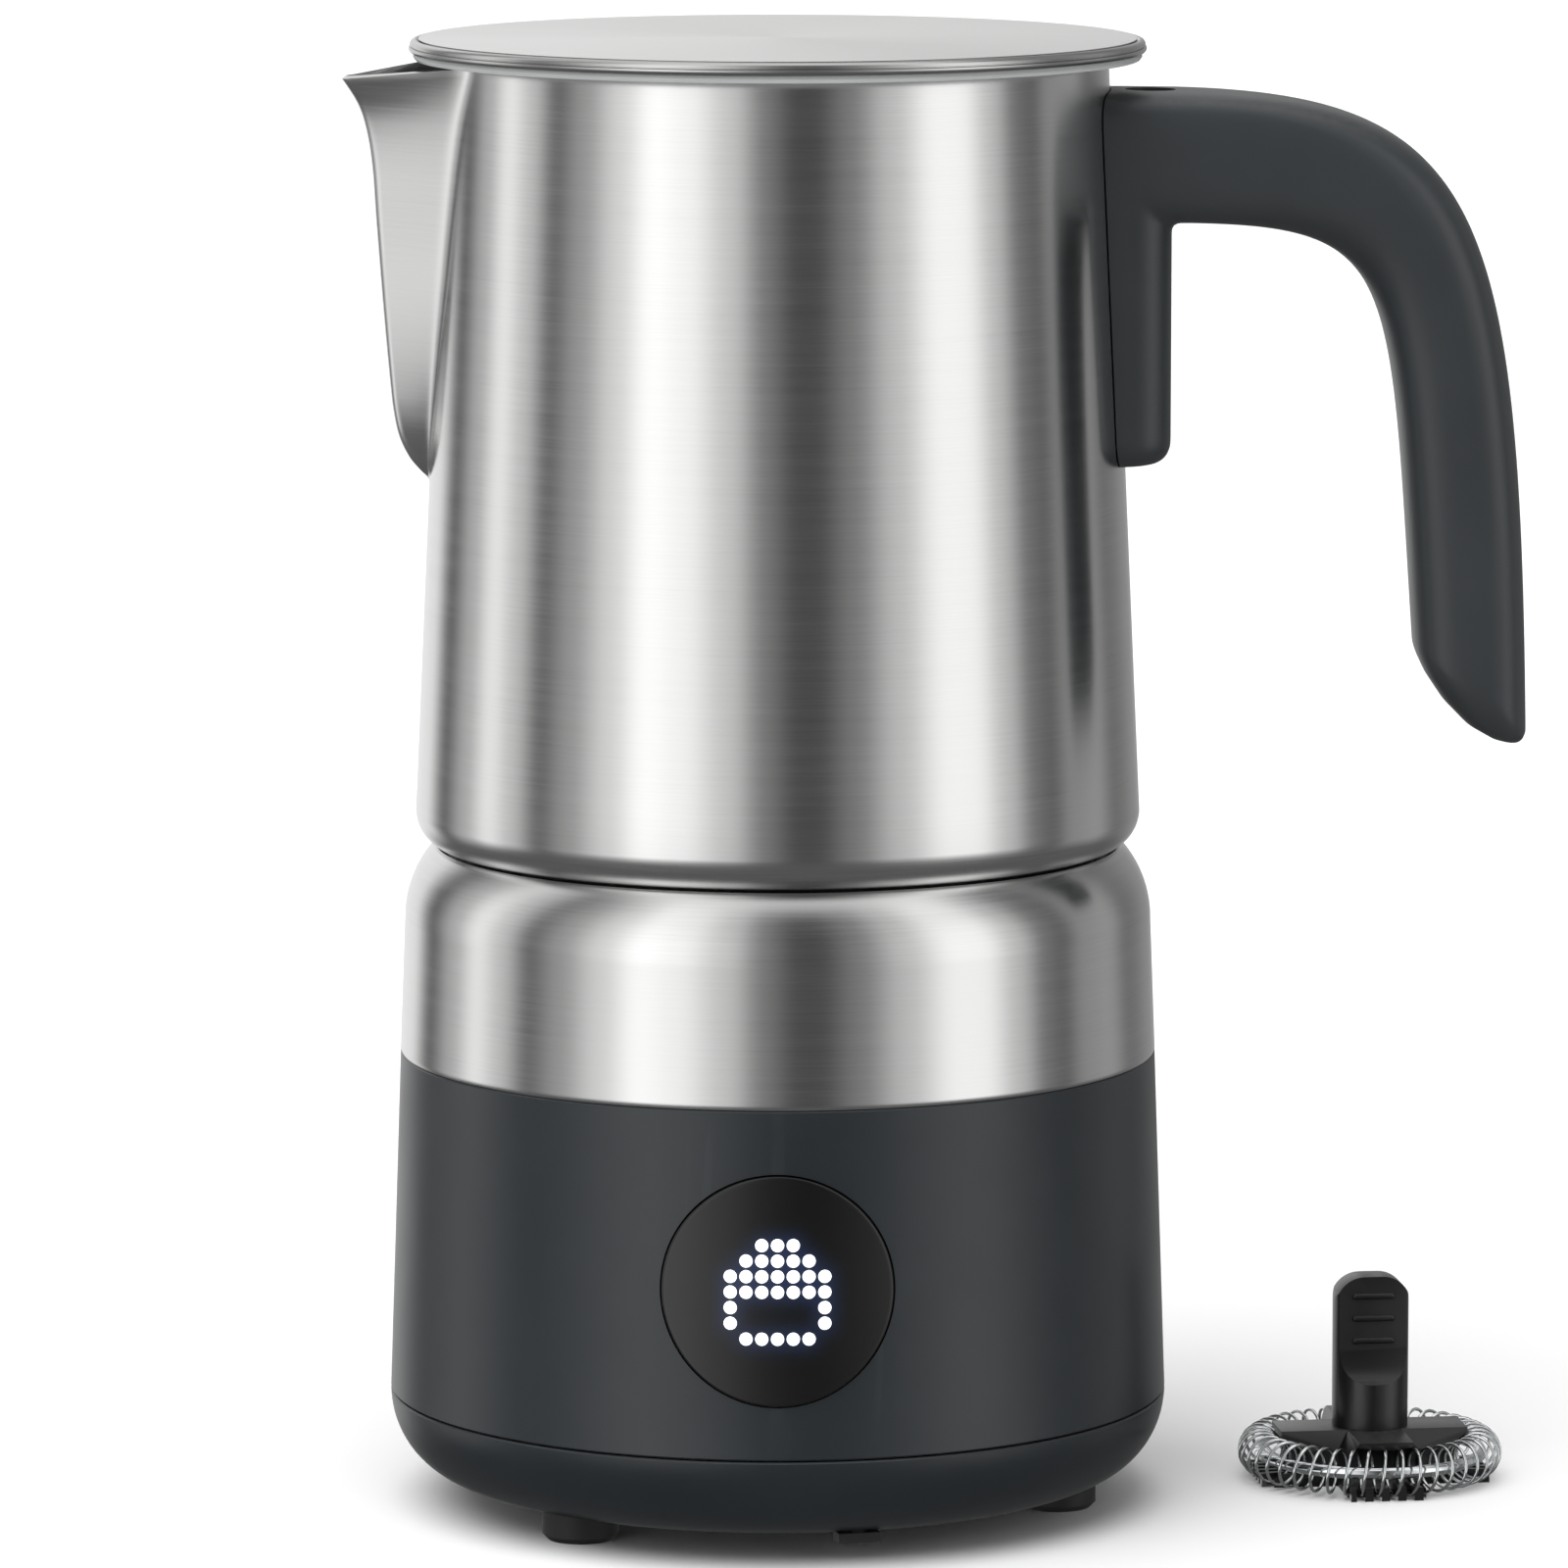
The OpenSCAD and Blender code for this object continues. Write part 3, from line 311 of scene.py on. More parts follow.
def makeHandling():
    # faint marks of use: worn edges, and dust on surfaces that face up
    group, start, end = makeGroup(
        "handling",
        [("Wear", "Float", 0.5), ("Dust", "Float", 0.2)],
        [("Edge", "Float"), ("Dust", "Float")],
    )
    surface = addNode(group, "NewGeometry")
    place = addNode(group, "TexCoord").outputs["Object"]
    edge = addNode(group, "MapRange", {
        "Value": surface.outputs["Pointiness"], "From Min": 0.52, "From Max": 0.62,
    }).outputs[0]
    patch = addNode(group, "TexNoise", {"Vector": place, "Scale": 160.0, "Detail": 3.0}).outputs[0]
    worn = mathNode(group, "MULTIPLY", mathNode(group, "MULTIPLY", edge, patch), start.outputs[0], True)
    up = addNode(group, "SeparateXYZ", {0: surface.outputs["Normal"]}).outputs[2]
    facing = addNode(group, "MapRange", {"Value": up, "From Min": 0.6, "From Max": 1.0}).outputs[0]
    specks = addNode(group, "TexNoise", {"Vector": place, "Scale": 900.0, "Detail": 5.0}).outputs[0]
    dust = mathNode(group, "MULTIPLY", mathNode(group, "MULTIPLY", facing, specks), start.outputs[1], True)
    group.links.new(worn, end.inputs[0])
    group.links.new(dust, end.inputs[1])
    return group


ringBrush = makeRingBrush()
mouldGrain = makeMouldGrain()
handling = makeHandling()
print("made shader groups")


def useGroup(tree, group, values):
    node = tree.nodes.new("ShaderNodeGroup")
    node.node_tree = group
    for key, value in values.items():
        node.inputs[key].default_value = value
    return node


def blankMaterial(name):
    material = bpy.data.materials.new(name)
    material.use_nodes = True
    tree = material.node_tree
    shader = tree.nodes["Principled BSDF"]
    return material, tree, shader


def mixColor(tree, factor, a, b):
    node = addNode(tree, "Mix", data_type="RGBA")
    for key, value in ((0, factor), (6, a), (7, b)):
        if isinstance(value, bpy.types.NodeSocket):
            tree.links.new(value, node.inputs[key])
        else:
            node.inputs[key].default_value = value
    return node.outputs[2]


def spreadValue(tree, value, low, high):
    return addNode(tree, "MapRange", {
        "Value": value, "From Min": 0.3, "From Max": 0.7, "To Min": low, "To Max": high,
    }).outputs[0]


def addBump(tree, shader, height, strength, distance):
    bump = addNode(tree, "Bump", {"Strength": strength, "Distance": distance, "Height": height})
    tree.links.new(bump.outputs[0], shader.inputs["Normal"])


def brushedMetal(name, color, rough, lines, stretch=0.75, streak=0.06, metallic=1.0):
    # metal brushed round the Z axis, so that its highlights stretch up and down
    material, tree, shader = blankMaterial(name)
    brush = useGroup(tree, ringBrush, {"Lines per mm": lines, "Depth": 1.0})
    use = useGroup(tree, handling, {"Wear": 0.2, "Dust": 0.1})
    dark = tuple(c * (1 - streak) for c in color) + (1,)
    light = tuple(min(c * (1 + streak), 1) for c in color) + (1,)
    amount = spreadValue(tree, brush.outputs["Streak"], 0.0, 1.0)
    tone = mixColor(tree, amount, dark, light)
    dusty = mixColor(tree, use.outputs["Dust"], tone, (0.7, 0.69, 0.67, 1))
    tree.links.new(dusty, shader.inputs["Base Color"])
    varied = spreadValue(tree, brush.outputs["Streak"], rough * 0.85, rough * 1.2)
    tree.links.new(varied, shader.inputs["Roughness"])
    shader.inputs["Metallic"].default_value = metallic
    shader.inputs["Anisotropic"].default_value = stretch
    shader.inputs["Anisotropic Rotation"].default_value = 0.25
    tangent = addNode(tree, "Tangent", direction_type="RADIAL", axis="Z")
    tree.links.new(tangent.outputs[0], shader.inputs["Tangent"])
    addBump(tree, shader, brush.outputs["Height"], 0.05, 0.00004)
    return material


def plainMetal(name, color, rough, grain=0.4, bumpStrength=0.05):
    material, tree, shader = blankMaterial(name)
    mould = useGroup(tree, mouldGrain, {"Grain size mm": grain, "Depth": 1.0})
    use = useGroup(tree, handling, {"Wear": 0.4, "Dust": 0.1})
    tone = mixColor(tree, spreadValue(tree, mould.outputs["Patches"], 0.0, 1.0),
                    tuple(c * 0.94 for c in color) + (1,), tuple(color) + (1,))
    bright = mixColor(tree, use.outputs["Edge"], tone, tuple(min(c * 1.25, 1) for c in color) + (1,))
    tree.links.new(bright, shader.inputs["Base Color"])
    varied = spreadValue(tree, mould.outputs["Patches"], rough * 0.85, rough * 1.2)
    tree.links.new(varied, shader.inputs["Roughness"])
    shader.inputs["Metallic"].default_value = 1.0
    addBump(tree, shader, mould.outputs["Height"], bumpStrength, 0.00005)
    return material


def mouldedPlastic(name, color, rough, grain=0.28, bumpStrength=0.12, wear=0.3, dust=0.12, coat=0.0):
    material, tree, shader = blankMaterial(name)
    mould = useGroup(tree, mouldGrain, {"Grain size mm": grain, "Depth": 1.0})
    use = useGroup(tree, handling, {"Wear": wear, "Dust": dust})
    tone = mixColor(tree, spreadValue(tree, mould.outputs["Patches"], 0.0, 1.0),
                    tuple(c * 0.93 for c in color) + (1,), tuple(c * 1.05 for c in color) + (1,))
    worn = mixColor(tree, use.outputs["Edge"], tone, tuple(min(c * 1.7 + 0.02, 1) for c in color) + (1,))
    dusty = mixColor(tree, use.outputs["Dust"], worn, (0.42, 0.41, 0.39, 1))
    tree.links.new(dusty, shader.inputs["Base Color"])
    varied = spreadValue(tree, mould.outputs["Patches"], rough * 0.92, rough * 1.08)
    tree.links.new(varied, shader.inputs["Roughness"])
    shader.inputs["Coat Weight"].default_value = coat
    addBump(tree, shader, mould.outputs["Height"], bumpStrength, 0.00003)
    return material


def boardLaminate(name):
    # green lacquer over copper tracks
    material, tree, shader = blankMaterial(name)
    place = addNode(tree, "TexCoord").outputs["Object"]
    tracks = addNode(tree, "TexBrick", {
        "Vector": place, "Scale": 220.0, "Mortar Size": 0.03,
        "Color1": (0.02, 0.11, 0.05, 1), "Color2": (0.02, 0.13, 0.06, 1), "Mortar": (0.07, 0.2, 0.08, 1),
    })
    tree.links.new(tracks.outputs[0], shader.inputs["Base Color"])
    shader.inputs["Roughness"].default_value = 0.35
    addBump(tree, shader, tracks.outputs["Fac"], 0.2, 0.00003)
    return material


def woundWire(name, color):
    # enamelled wire wound round the Z axis
    material, tree, shader = blankMaterial(name)
    brush = useGroup(tree, ringBrush, {"Lines per mm": 1.6, "Depth": 1.0})
    tone = mixColor(tree, brush.outputs["Streak"], tuple(c * 0.6 for c in color) + (1,), tuple(color) + (1,))
    tree.links.new(tone, shader.inputs["Base Color"])
    shader.inputs["Metallic"].default_value = 0.8
    shader.inputs["Roughness"].default_value = 0.4
    addBump(tree, shader, brush.outputs["Height"], 0.5, 0.0002)
    return material


def displayFace(name, color, rough):
    # tinted smooth cap with the lights' glow showing through it
    material, tree, shader = blankMaterial(name)
    mould = useGroup(tree, mouldGrain, {"Grain size mm": 0.5, "Depth": 1.0})
    tone = mixColor(tree, spreadValue(tree, mould.outputs["Patches"], 0.0, 1.0),
                    tuple(c * 0.9 for c in color) + (1,), tuple(c * 1.1 for c in color) + (1,))
    tree.links.new(tone, shader.inputs["Base Color"])
    varied = spreadValue(tree, mould.outputs["Patches"], rough * 0.9, rough * 1.1)
    tree.links.new(varied, shader.inputs["Roughness"])
    glow = addNode(tree, "Attribute", attribute_name="glow").outputs["Fac"]
    halo = mixColor(tree, glow, (0, 0, 0, 1), (0.016, 0.028, 0.075, 1))
    tree.links.new(halo, shader.inputs["Emission Color"])
    shader.inputs["Emission Strength"].default_value = 1.0
    addBump(tree, shader, mould.outputs["Height"], 0.04, 0.00002)
    return material


def litDot(name):
    material, tree, shader = blankMaterial(name)
    mould = useGroup(tree, mouldGrain, {"Grain size mm": 0.3, "Depth": 1.0})
    tone = mixColor(tree, mould.outputs["Height"], (0.88, 0.93, 1.0, 1), (1.0, 1.0, 1.0, 1))
    tree.links.new(tone, shader.inputs["Emission Color"])
    shader.inputs["Emission Strength"].default_value = 0.95
    shader.inputs["Base Color"].default_value = (0.9, 0.93, 1, 1)
    shader.inputs["Roughness"].default_value = 0.4
    return material


steel = brushedMetal("brushed_jug_steel", (0.68, 0.68, 0.675), 0.21, 5.0, stretch=0.8, streak=0.06)
lidSatin = brushedMetal("lid_satin", (0.64, 0.64, 0.635), 0.36, 7.0, stretch=0.3, streak=0.02, metallic=0.45)
rimSteel = brushedMetal("lid_rim_steel", (0.56, 0.56, 0.555), 0.28, 7.0, stretch=0.3, streak=0.03)
charcoal = mouldedPlastic("charcoal_plastic", (0.0125, 0.0160, 0.0190), 0.32)
gripPlastic = mouldedPlastic("grip_plastic", (0.0265, 0.0305, 0.0335), 0.4)
blackPlastic = mouldedPlastic("black_plastic", (0.005, 0.005, 0.0055), 0.3, wear=0.5)
blackGloss = displayFace("black_gloss", (0.005, 0.005, 0.005), 0.22)
wireShine = plainMetal("polished_wire", (0.78, 0.80, 0.81), 0.1, bumpStrength=0.02)
bySlot = {
    "charcoal_plastic": charcoal,
    "black_plastic": blackPlastic,
    "black_gloss": blackGloss,
    "feet_rubber": mouldedPlastic("feet_rubber", (0.012, 0.012, 0.012), 0.62, grain=0.18, bumpStrength=0.3),
    "seal_silicone": mouldedPlastic("seal_silicone", (0.62, 0.61, 0.57), 0.5, grain=0.4),
    "brushed_jug_steel": steel,
    "plain_steel": plainMetal("plain_steel", (0.60, 0.60, 0.60), 0.3),
    "screw_steel": plainMetal("screw_steel", (0.52, 0.53, 0.54), 0.35, grain=0.2),
    "polished_wire": wireShine,
    "lid_satin": lidSatin,
    "lid_plastic": mouldedPlastic("lid_plastic", (0.40, 0.41, 0.41), 0.42),
    "carrier_plastic": mouldedPlastic("carrier_plastic", (0.24, 0.22, 0.19), 0.55),
    "board_laminate": boardLaminate("board_laminate"),
    "part_plastic": mouldedPlastic("part_plastic", (0.6, 0.57, 0.48), 0.45),
    "capacitor_sleeve": mouldedPlastic("capacitor_sleeve", (0.012, 0.018, 0.03), 0.3),
    "led_epoxy": litDot("led_epoxy"),
    "switch_body": mouldedPlastic("switch_body", (0.05, 0.055, 0.06), 0.4),
    "copper_winding": woundWire("copper_winding", (0.55, 0.22, 0.10)),
    "sink_aluminium": plainMetal("sink_aluminium", (0.62, 0.64, 0.65), 0.4),
    "ferrite_dark": mouldedPlastic("ferrite_dark", (0.02, 0.02, 0.021), 0.6, grain=0.15, bumpStrength=0.4),
    "magnet_nickel": plainMetal("magnet_nickel", (0.68, 0.69, 0.70), 0.2),
    "core_iron": woundWire("core_iron", (0.34, 0.25, 0.18)),
}
for part in frame["record"]["subparts"]:
    cadNode = frame["nodes"][part["node"]]
    cadNode.data.materials.clear()
    cadNode.data.materials.append(bySlot[part["material_slot"]])
print("made materials")


jug = {
    "baseRadius": 50.2, "mouthRadius": 45.5, "cornerHeight": 97.1, "corner": 5, "rim": 200.8,
    "seat": 90, "footRecess": 0.9, "sheet": 0.8, "columns": 96, "creaseSmoothing": 9,
}
spout = {
    "length": 57.6, "edgeStart": 42.5, "edgeSlope": 0.144,
    # share of the spout's height, and how far the nose stands out of the wall there
    "nose": [
        (-0.02, -0.4), (0.0, 0.3), (0.02, 1.5), (0.05, 3.0), (0.1, 4.5), (0.16, 5.4), (0.22, 5.95),
        (0.39, 7.25), (0.62, 8.85), (0.75, 9.7), (0.835, 10.7), (0.896, 12.0), (0.955, 14.3),
        (1.0, 16.6),
    ],
    # share of the spout's height, and half its width where it meets the wall
    "crease": [
        (-0.02, 0.0), (0.0, 0.9), (0.02, 2.1), (0.045, 3.3), (0.1, 5.1), (0.18, 6.9), (0.274, 8.7),
        (0.465, 11.6), (0.648, 13.4), (0.858, 15.6), (1.0, 18.0),
    ],
    "noseRadius": 2.7, "columns": 26,
}


def wallRadius(z):
    taper = (jug["baseRadius"] - jug["mouthRadius"]) / (jug["rim"] - jug["cornerHeight"])
    return jug["baseRadius"] - max(z - jug["cornerHeight"], 0) * taper


def spoutHalf(z, count):
    # points of half the spout's outline at height z, from its nose to where it meets the wall
    u = (z - jug["rim"] + spout["length"]) / spout["length"]
    wall = wallRadius(z)
    r = spout["noseRadius"]
    cx = r - wall - shareOf(spout["nose"], u)
    half = shareOf(spout["crease"], u)
    # the side is the line from the crease that just touches the round nose
    awayX, awayY = -math.sqrt(wall * wall - half * half) - cx, half
    side = math.atan2(awayY, awayX) - math.asin(min(r / math.hypot(awayX, awayY), 0.985))
    sweep = math.pi / 2 - side
    endX, endY = cx - r * math.sin(side), r * math.cos(side)
    # the straight side runs on until it meets the wall
    dx, dy = math.cos(side), math.sin(side)
    b = endX * dx + endY * dy
    c = endX * endX + endY * endY - wall * wall
    run = -b - math.sqrt(max(b * b - c, 0)) if c > 0 and b * b > c else 0.0
    lengths = (r * sweep, max(run, 0.0))
    total = sum(lengths)
    points = []
    for i in range(count):
        s = total * i / count
        if s < lengths[0]:
            a = s / r
            x, y = cx - r * math.cos(a), r * math.sin(a)
        else:
            x, y = endX + dx * (s - lengths[0]), endY + dy * (s - lengths[0])
        points.append((x, y))
    meet = (endX + dx * lengths[1], endY + dy * lengths[1])
    # a nose that is inside the wall is pressed out onto it
    least = math.radians(1.2)
    if math.hypot(points[0][0], points[0][1]) <= wall or math.atan2(meet[1], -meet[0]) < least:
        meet = (-wall * math.cos(least), wall * math.sin(least))
        points = [
            (-wall * math.cos(least * i / count), wall * math.sin(least * i / count)) for i in range(count)
        ]
    else:
        points = [
            p if math.hypot(*p) >= wall else tuple(v * wall / math.hypot(*p) for v in p) for p in points
        ]
    return points, meet


def jugRing(z, plainRadius=None):
    # one ring of the jug at height z, with the spout's edge lowered towards its tip
    count, wallCount = spout["columns"], jug["columns"]
    drop = smoothStep(186, jug["rim"], z)
    half = []
    for i in range(count + wallCount + 1):
        height = z
        for again in range(4):  # the outline depends on the height, and the height on the outline
            if plainRadius is not None:
                points, meet = spoutHalf(120, count)
            else:
                points, meet = spoutHalf(height, count)
            wall = wallRadius(height)
            if i < count:
                x, y = points[i]
            else:
                start = math.atan2(meet[1], -meet[0])
                share = (i - count) / wallCount
                a = start + (math.pi - start) * (0.35 * share + 0.65 * share ** 1.6)
                x, y = -wall * math.cos(a), wall * math.sin(a)
            if plainRadius is not None:
                scale = plainRadius / math.hypot(x, y)
                x, y = x * scale, y * scale
                break
            lower = max(-x - spout["edgeStart"], 0) * spout["edgeSlope"] * drop
            height = z - lower
        half.append((x, y, height))
    mirrored = [(x, -y, h) for x, y, h in half[1:-1]]
    return half + mirrored[::-1]


def easeCrease(ring):
    # rounds the crease between the spout and the wall
    n = len(ring)
    reach = jug["creaseSmoothing"]
    for centre in (spout["columns"], n - spout["columns"]):
        for turn in range(10):
            moved = list(ring)
            for k in range(centre - reach, centre + reach + 1):
                a, p, b = ring[(k - 1) % n], ring[k % n], ring[(k + 1) % n]
                fade = 0.5 * (1 - abs(k - centre) / (reach + 1))
                moved[k % n] = tuple(v + fade * ((q + w) / 2 - v) for v, q, w in zip(p, a, b))
            ring = moved
    return ring


def makeJug():
    foot = jug["baseRadius"] - jug["corner"]
    under = jug["seat"] + jug["footRecess"]
    # flat bottom with a low foot ring near its edge
    plain = [
        (0.4, under), (20, under), (foot - 2.6, under), (foot - 2.2, under - 0.25),
        (foot - 1.6, jug["seat"]), (foot - 0.9, jug["seat"]), (foot - 0.5, jug["seat"] + 0.35),
    ]
    plain += arc(foot, jug["cornerHeight"], jug["corner"], -90, -4, 12)
    rings = [jugRing(z, r) for r, z in plain]
    spoutFoot = jug["rim"] - spout["length"]
    heights = [jug["cornerHeight"] + i * 5.5 for i in range(9)]
    heights += [spoutFoot - 1.2 + 0.5 * i for i in range(26)]
    heights += [spoutFoot + 12.5 + 1.5 * i for i in range(20)]
    heights += [spoutFoot + 42 + 1.04 * i for i in range(16)]
    heights = [h for h in heights if h < jug["rim"] - 0.3] + [jug["rim"]]
    rings += [easeCrease(jugRing(z)) for z in heights]
    obj = loftRings("jug_body", rings, closeEnds=False)
    bm = bmesh.new()
    bm.from_mesh(obj.data)
    bmesh.ops.contextual_create(bm, geom=[e for e in bm.edges if e.is_boundary and e.verts[0].co.z < 0.092])
    bmesh.ops.recalc_face_normals(bm, faces=bm.faces)
    bm.faces.ensure_lookup_table()
    lowest = min(bm.faces, key=lambda f: f.calc_center_median().z)
    if lowest.normal.z > 0:
        bmesh.ops.reverse_faces(bm, faces=bm.faces)
    bm.to_mesh(obj.data)
    bm.free()
    wall = obj.modifiers.new("sheet", "SOLIDIFY")
    wall.thickness = jug["sheet"] * mm
    wall.offset = -1
    applyModifiers(obj)
    softenEdges(obj, 0.16, angle=55, segments=2)
    shade(obj, 50)
    finishPiece(obj, "jug", steel, ["jug_shell"])


makeJug()


lid = {
    "radius": 50.7, "top": 204.0, "seam": 202.1, "discEdge": 1.4, "groove": 1.9, "rimDrop": 0.36, "bead": 0.7,
    "lipBead": 0.62, "discThickness": 0.8, "sides": 320,
}


def makeLid():
    r, top, seam = lid["radius"], lid["top"], lid["seam"]
    edge, groove, under = r - lid["discEdge"], r - lid["groove"], top - lid["discThickness"]
    profile = [(0, top), (edge - 0.02, top), (edge + 0.04, top - 0.05), (edge, top - 0.1)]
    profile += [(groove, top - 0.14), (groove, under), (0, under)]
    cover = lathe("lid_top", profile, lid["sides"])
    shade(cover, 32)
    finishPiece(cover, "lid", lidSatin, ["lid_cover"])

    # two beads with a thin groove between them
    bead, lip, ledge = lid["bead"], lid["lipBead"], top - lid["rimDrop"]
    profile = [(groove + 0.05, ledge), (edge + 0.05, ledge)]
    profile += arc(r - 0.85, top - 0.86, bead, 112, 20, 8)
    profile += [(r - 0.16, top - 0.94), (r - 0.36, top - 1.0), (r - 0.36, top - 1.08), (r - 0.1, top - 1.14)]
    profile += arc(r - lip, top - 1.35, lip, 15, -60, 6)
    profile += [(r - 0.75, seam), (groove + 0.05, seam)]
    rim = lathe("lid_rim", profile, lid["sides"])
    shade(rim, 40)
    finishPiece(rim, "lid", rimSteel)


makeLid()


handle = {
    "width": 24, "top": 196.9, "barFoot": 145.5, "barFront": 54.07, "barCorner": 5.4, "barEnd": 3.2,
    "barTop": 186.5, "taper": 4, "cornerFillet": 3.4,
    "outer": [(48.07, 196.9), (95.1, 196.9), (102.1, 187.7), (103.6, 109.0)],
    "inner": [(52.07, 178.9), (86.0, 178.9), (84.2, 173.8), (88.0, 120.0)],
    # sections that close the grip's lower end: outer edge, inner edge, and width
    "end": [
        ((103.62, 108.5), (88.4, 118.8), 19.8), ((103.6, 108.0), (89.5, 116.4), 19.2),
        ((103.5, 107.6), (91.9, 112.8), 18.2), ((103.3, 107.25), (95.2, 109.4), 16.6),
        ((103.05, 107.0), (98.6, 107.4), 14.4), ((102.8, 106.9), (101.2, 106.7), 11.5),
    ],
    "rootSquareness": 0.36, "squareness": 0.62, "voxel": 0.5, "smoothing": 8, "seamGap": 0.12,
    "recess": (51.27, 3.5, 1.6),
}


def gripRing(outer, inner, width, power):
    middle = ((outer[0] + inner[0]) / 2, (outer[1] + inner[1]) / 2)
    half = ((outer[0] - inner[0]) / 2, (outer[1] - inner[1]) / 2)
    ring = []
    for i in range(48):
        a = 2 * math.pi * (i + 0.5) / 48
        u = math.copysign(abs(math.cos(a)) ** power, math.cos(a))
        v = math.copysign(abs(math.sin(a)) ** power, math.sin(a))
        ring.append((middle[0] + half[0] * u, v * width / 2, middle[1] + half[1] * u))
    return ring


def makeGrip():
    steps, width = 60, handle["width"]
    (ax, az), (bx, bz) = handle["outer"][0], handle["inner"][0]
    root = handle["rootSquareness"]
    rings = [gripRing((x, az), (x, bz), width, root) for x in (ax - 9, (ax + bx) / 2 - 3)]
    for i in range(3, steps + 1):
        s = i / steps
        power = root + (handle["squareness"] - root) * smoothStep(0.05, 0.5, s)
        outer, inner = bezier(handle["outer"], s), bezier(handle["inner"], s)
        rings.append(gripRing(outer, inner, width - handle["taper"] * s, power))
    rings += [gripRing(outer, inner, w, handle["squareness"]) for outer, inner, w in handle["end"]]
    return loftRings("grip", rings)


def makeBar():
    front, corner, foot, end = handle["barFront"], handle["barCorner"], handle["barFoot"], handle["barEnd"]
    rings = []
    turns = [math.pi / 2 * i / 6 for i in range(7)]
    levels = [(foot + end * (1 - math.cos(t)), end * (1 - math.sin(t))) for t in turns]
    levels.append((handle["barTop"], 0.0))
    for z, inset in levels:
        w, x = handle["width"] / 2 - 0.06 - inset * 0.8, front - inset
        ring = [(38, -w, z)] + [(px, py, z) for px, py in arc(x - corner, -w + corner, corner, -90, 0, 8)]
        ring += [(px, py, z) for px, py in arc(x - corner, w - corner, corner, 0, 90, 8)] + [(38, w, z)]
        rings.append(ring)
    return loftRings("bar", rings)


def makeCornerFillet():
    # fills the inner corner between the bar and the arm with a hollow curve
    r = handle["cornerFillet"]
    x, z = handle["barFront"] - 1.0, handle["inner"][0][1] + 1.2
    outline = [(x, z)] + [(px, pz) for px, pz in arc(x + r, z - r, r, 180, 90, 8)]
    rings = [[(px, y, pz) for px, pz in outline] for y in (-7.5, 7.5)]
    return loftRings("fillet", rings)


def makeHandle():
    obj = makeGrip()
    combine(obj, [makeBar(), makeCornerFillet()], "UNION")
    remesh = obj.modifiers.new("skin", "REMESH")
    remesh.mode = "VOXEL"
    remesh.voxel_size = handle["voxel"] * mm
    smooth = obj.modifiers.new("smooth", "SMOOTH")
    smooth.factor = 0.5
    smooth.iterations = handle["smoothing"]
    applyModifiers(obj)
    gap = handle["seamGap"]
    low, high = handle["barFoot"] - 10, handle["top"] + 8
    lowRadius, highRadius = wallRadius(low) + gap, wallRadius(high) + gap
    cone = lathe("wall_cut", [(0, low), (lowRadius, low), (highRadius, high), (0, high)])
    x, r, deep = handle["recess"]
    cup = rod("recess_cut", r, (x, 0, handle["top"] - deep), (x, 0, handle["top"] + 5))
    combine(obj, [cone, cup], "DIFFERENCE")
    shade(obj, 40)
    finishPiece(obj, "jug", gripPlastic, ["handle"])


makeHandle()


base = {
    "panTop": 15.8, "seam": 63.4, "radius": 54.1, "seamRadius": 52.5, "foot": 4.0,
    "bend": 10.6, "edge": 0.22, "shoulderRadius": 51.8, "shoulderArc": 15, "shoulderArcHeight": 82,
    "rimRise": 2.45, "wall": 2.4, "vents": 12, "ventIn": 12, "ventOut": 24, "ventHalf": 1.1,
    "footAngles": (227.4, 347.4, 107.4), "footPlace": 40, "footHole": 5.4,
    "glandHeight": 26, "glandHole": 6.1,
}
button = {
    "radius": 15.66, "height": 39.0, "proud": 0.5, "gap": 0.2, "edge": 0.3,
    "depth": 3.2, "wall": 2.0, "skirt": 1.4,
    "rings": 56, "sides": 144,
}


def bodyRadius(z):
    share = (z - base["panTop"]) / (base["seam"] - base["panTop"])
    return base["radius"] + (base["seamRadius"] - base["radius"]) * share


def makePan():
    r, top, foot, bend, edge = base["radius"], base["panTop"], base["foot"], base["bend"], base["edge"]
    rise = top - foot
    outer = [(r - bend + bend * math.cos(a), top + rise * math.sin(a))
             for a in (math.radians(-90 + 90 * i / 24) for i in range(24))]
    wall, rim = base["wall"], top - edge * 0.5
    profile = [(0, foot)] + outer + [(r, top - edge * 1.5), (r - edge, rim), (r - wall, rim)]
    profile += [(r - wall - 0.2, top - 2), (r - bend, foot + wall + 0.2), (0, foot + wall + 0.2)]
    obj = lathe("pan_shell", profile, 320)
    cuts = []
    for i in range(base["vents"]):
        low = (base["ventIn"], -base["ventHalf"], foot - 1)
        high = (base["ventOut"], base["ventHalf"], foot + 4)
        slot = block("vent", low, high)
        slot.data.transform(Matrix.Rotation(math.radians(15 + 30 * i), 4, "Z"))
        cuts.append(slot)
    for a in base["footAngles"]:
        x, y = base["footPlace"] * math.cos(math.radians(a)), base["footPlace"] * math.sin(math.radians(a))
        cuts.append(rod("foot_cut", base["footHole"], (x, y, foot - 1), (x, y, foot + 2)))
    combine(obj, [mergeMeshes(cuts)], "DIFFERENCE")
    shade(obj, 30)
    finishPiece(obj, "base", charcoal, ["bottom_pan"])


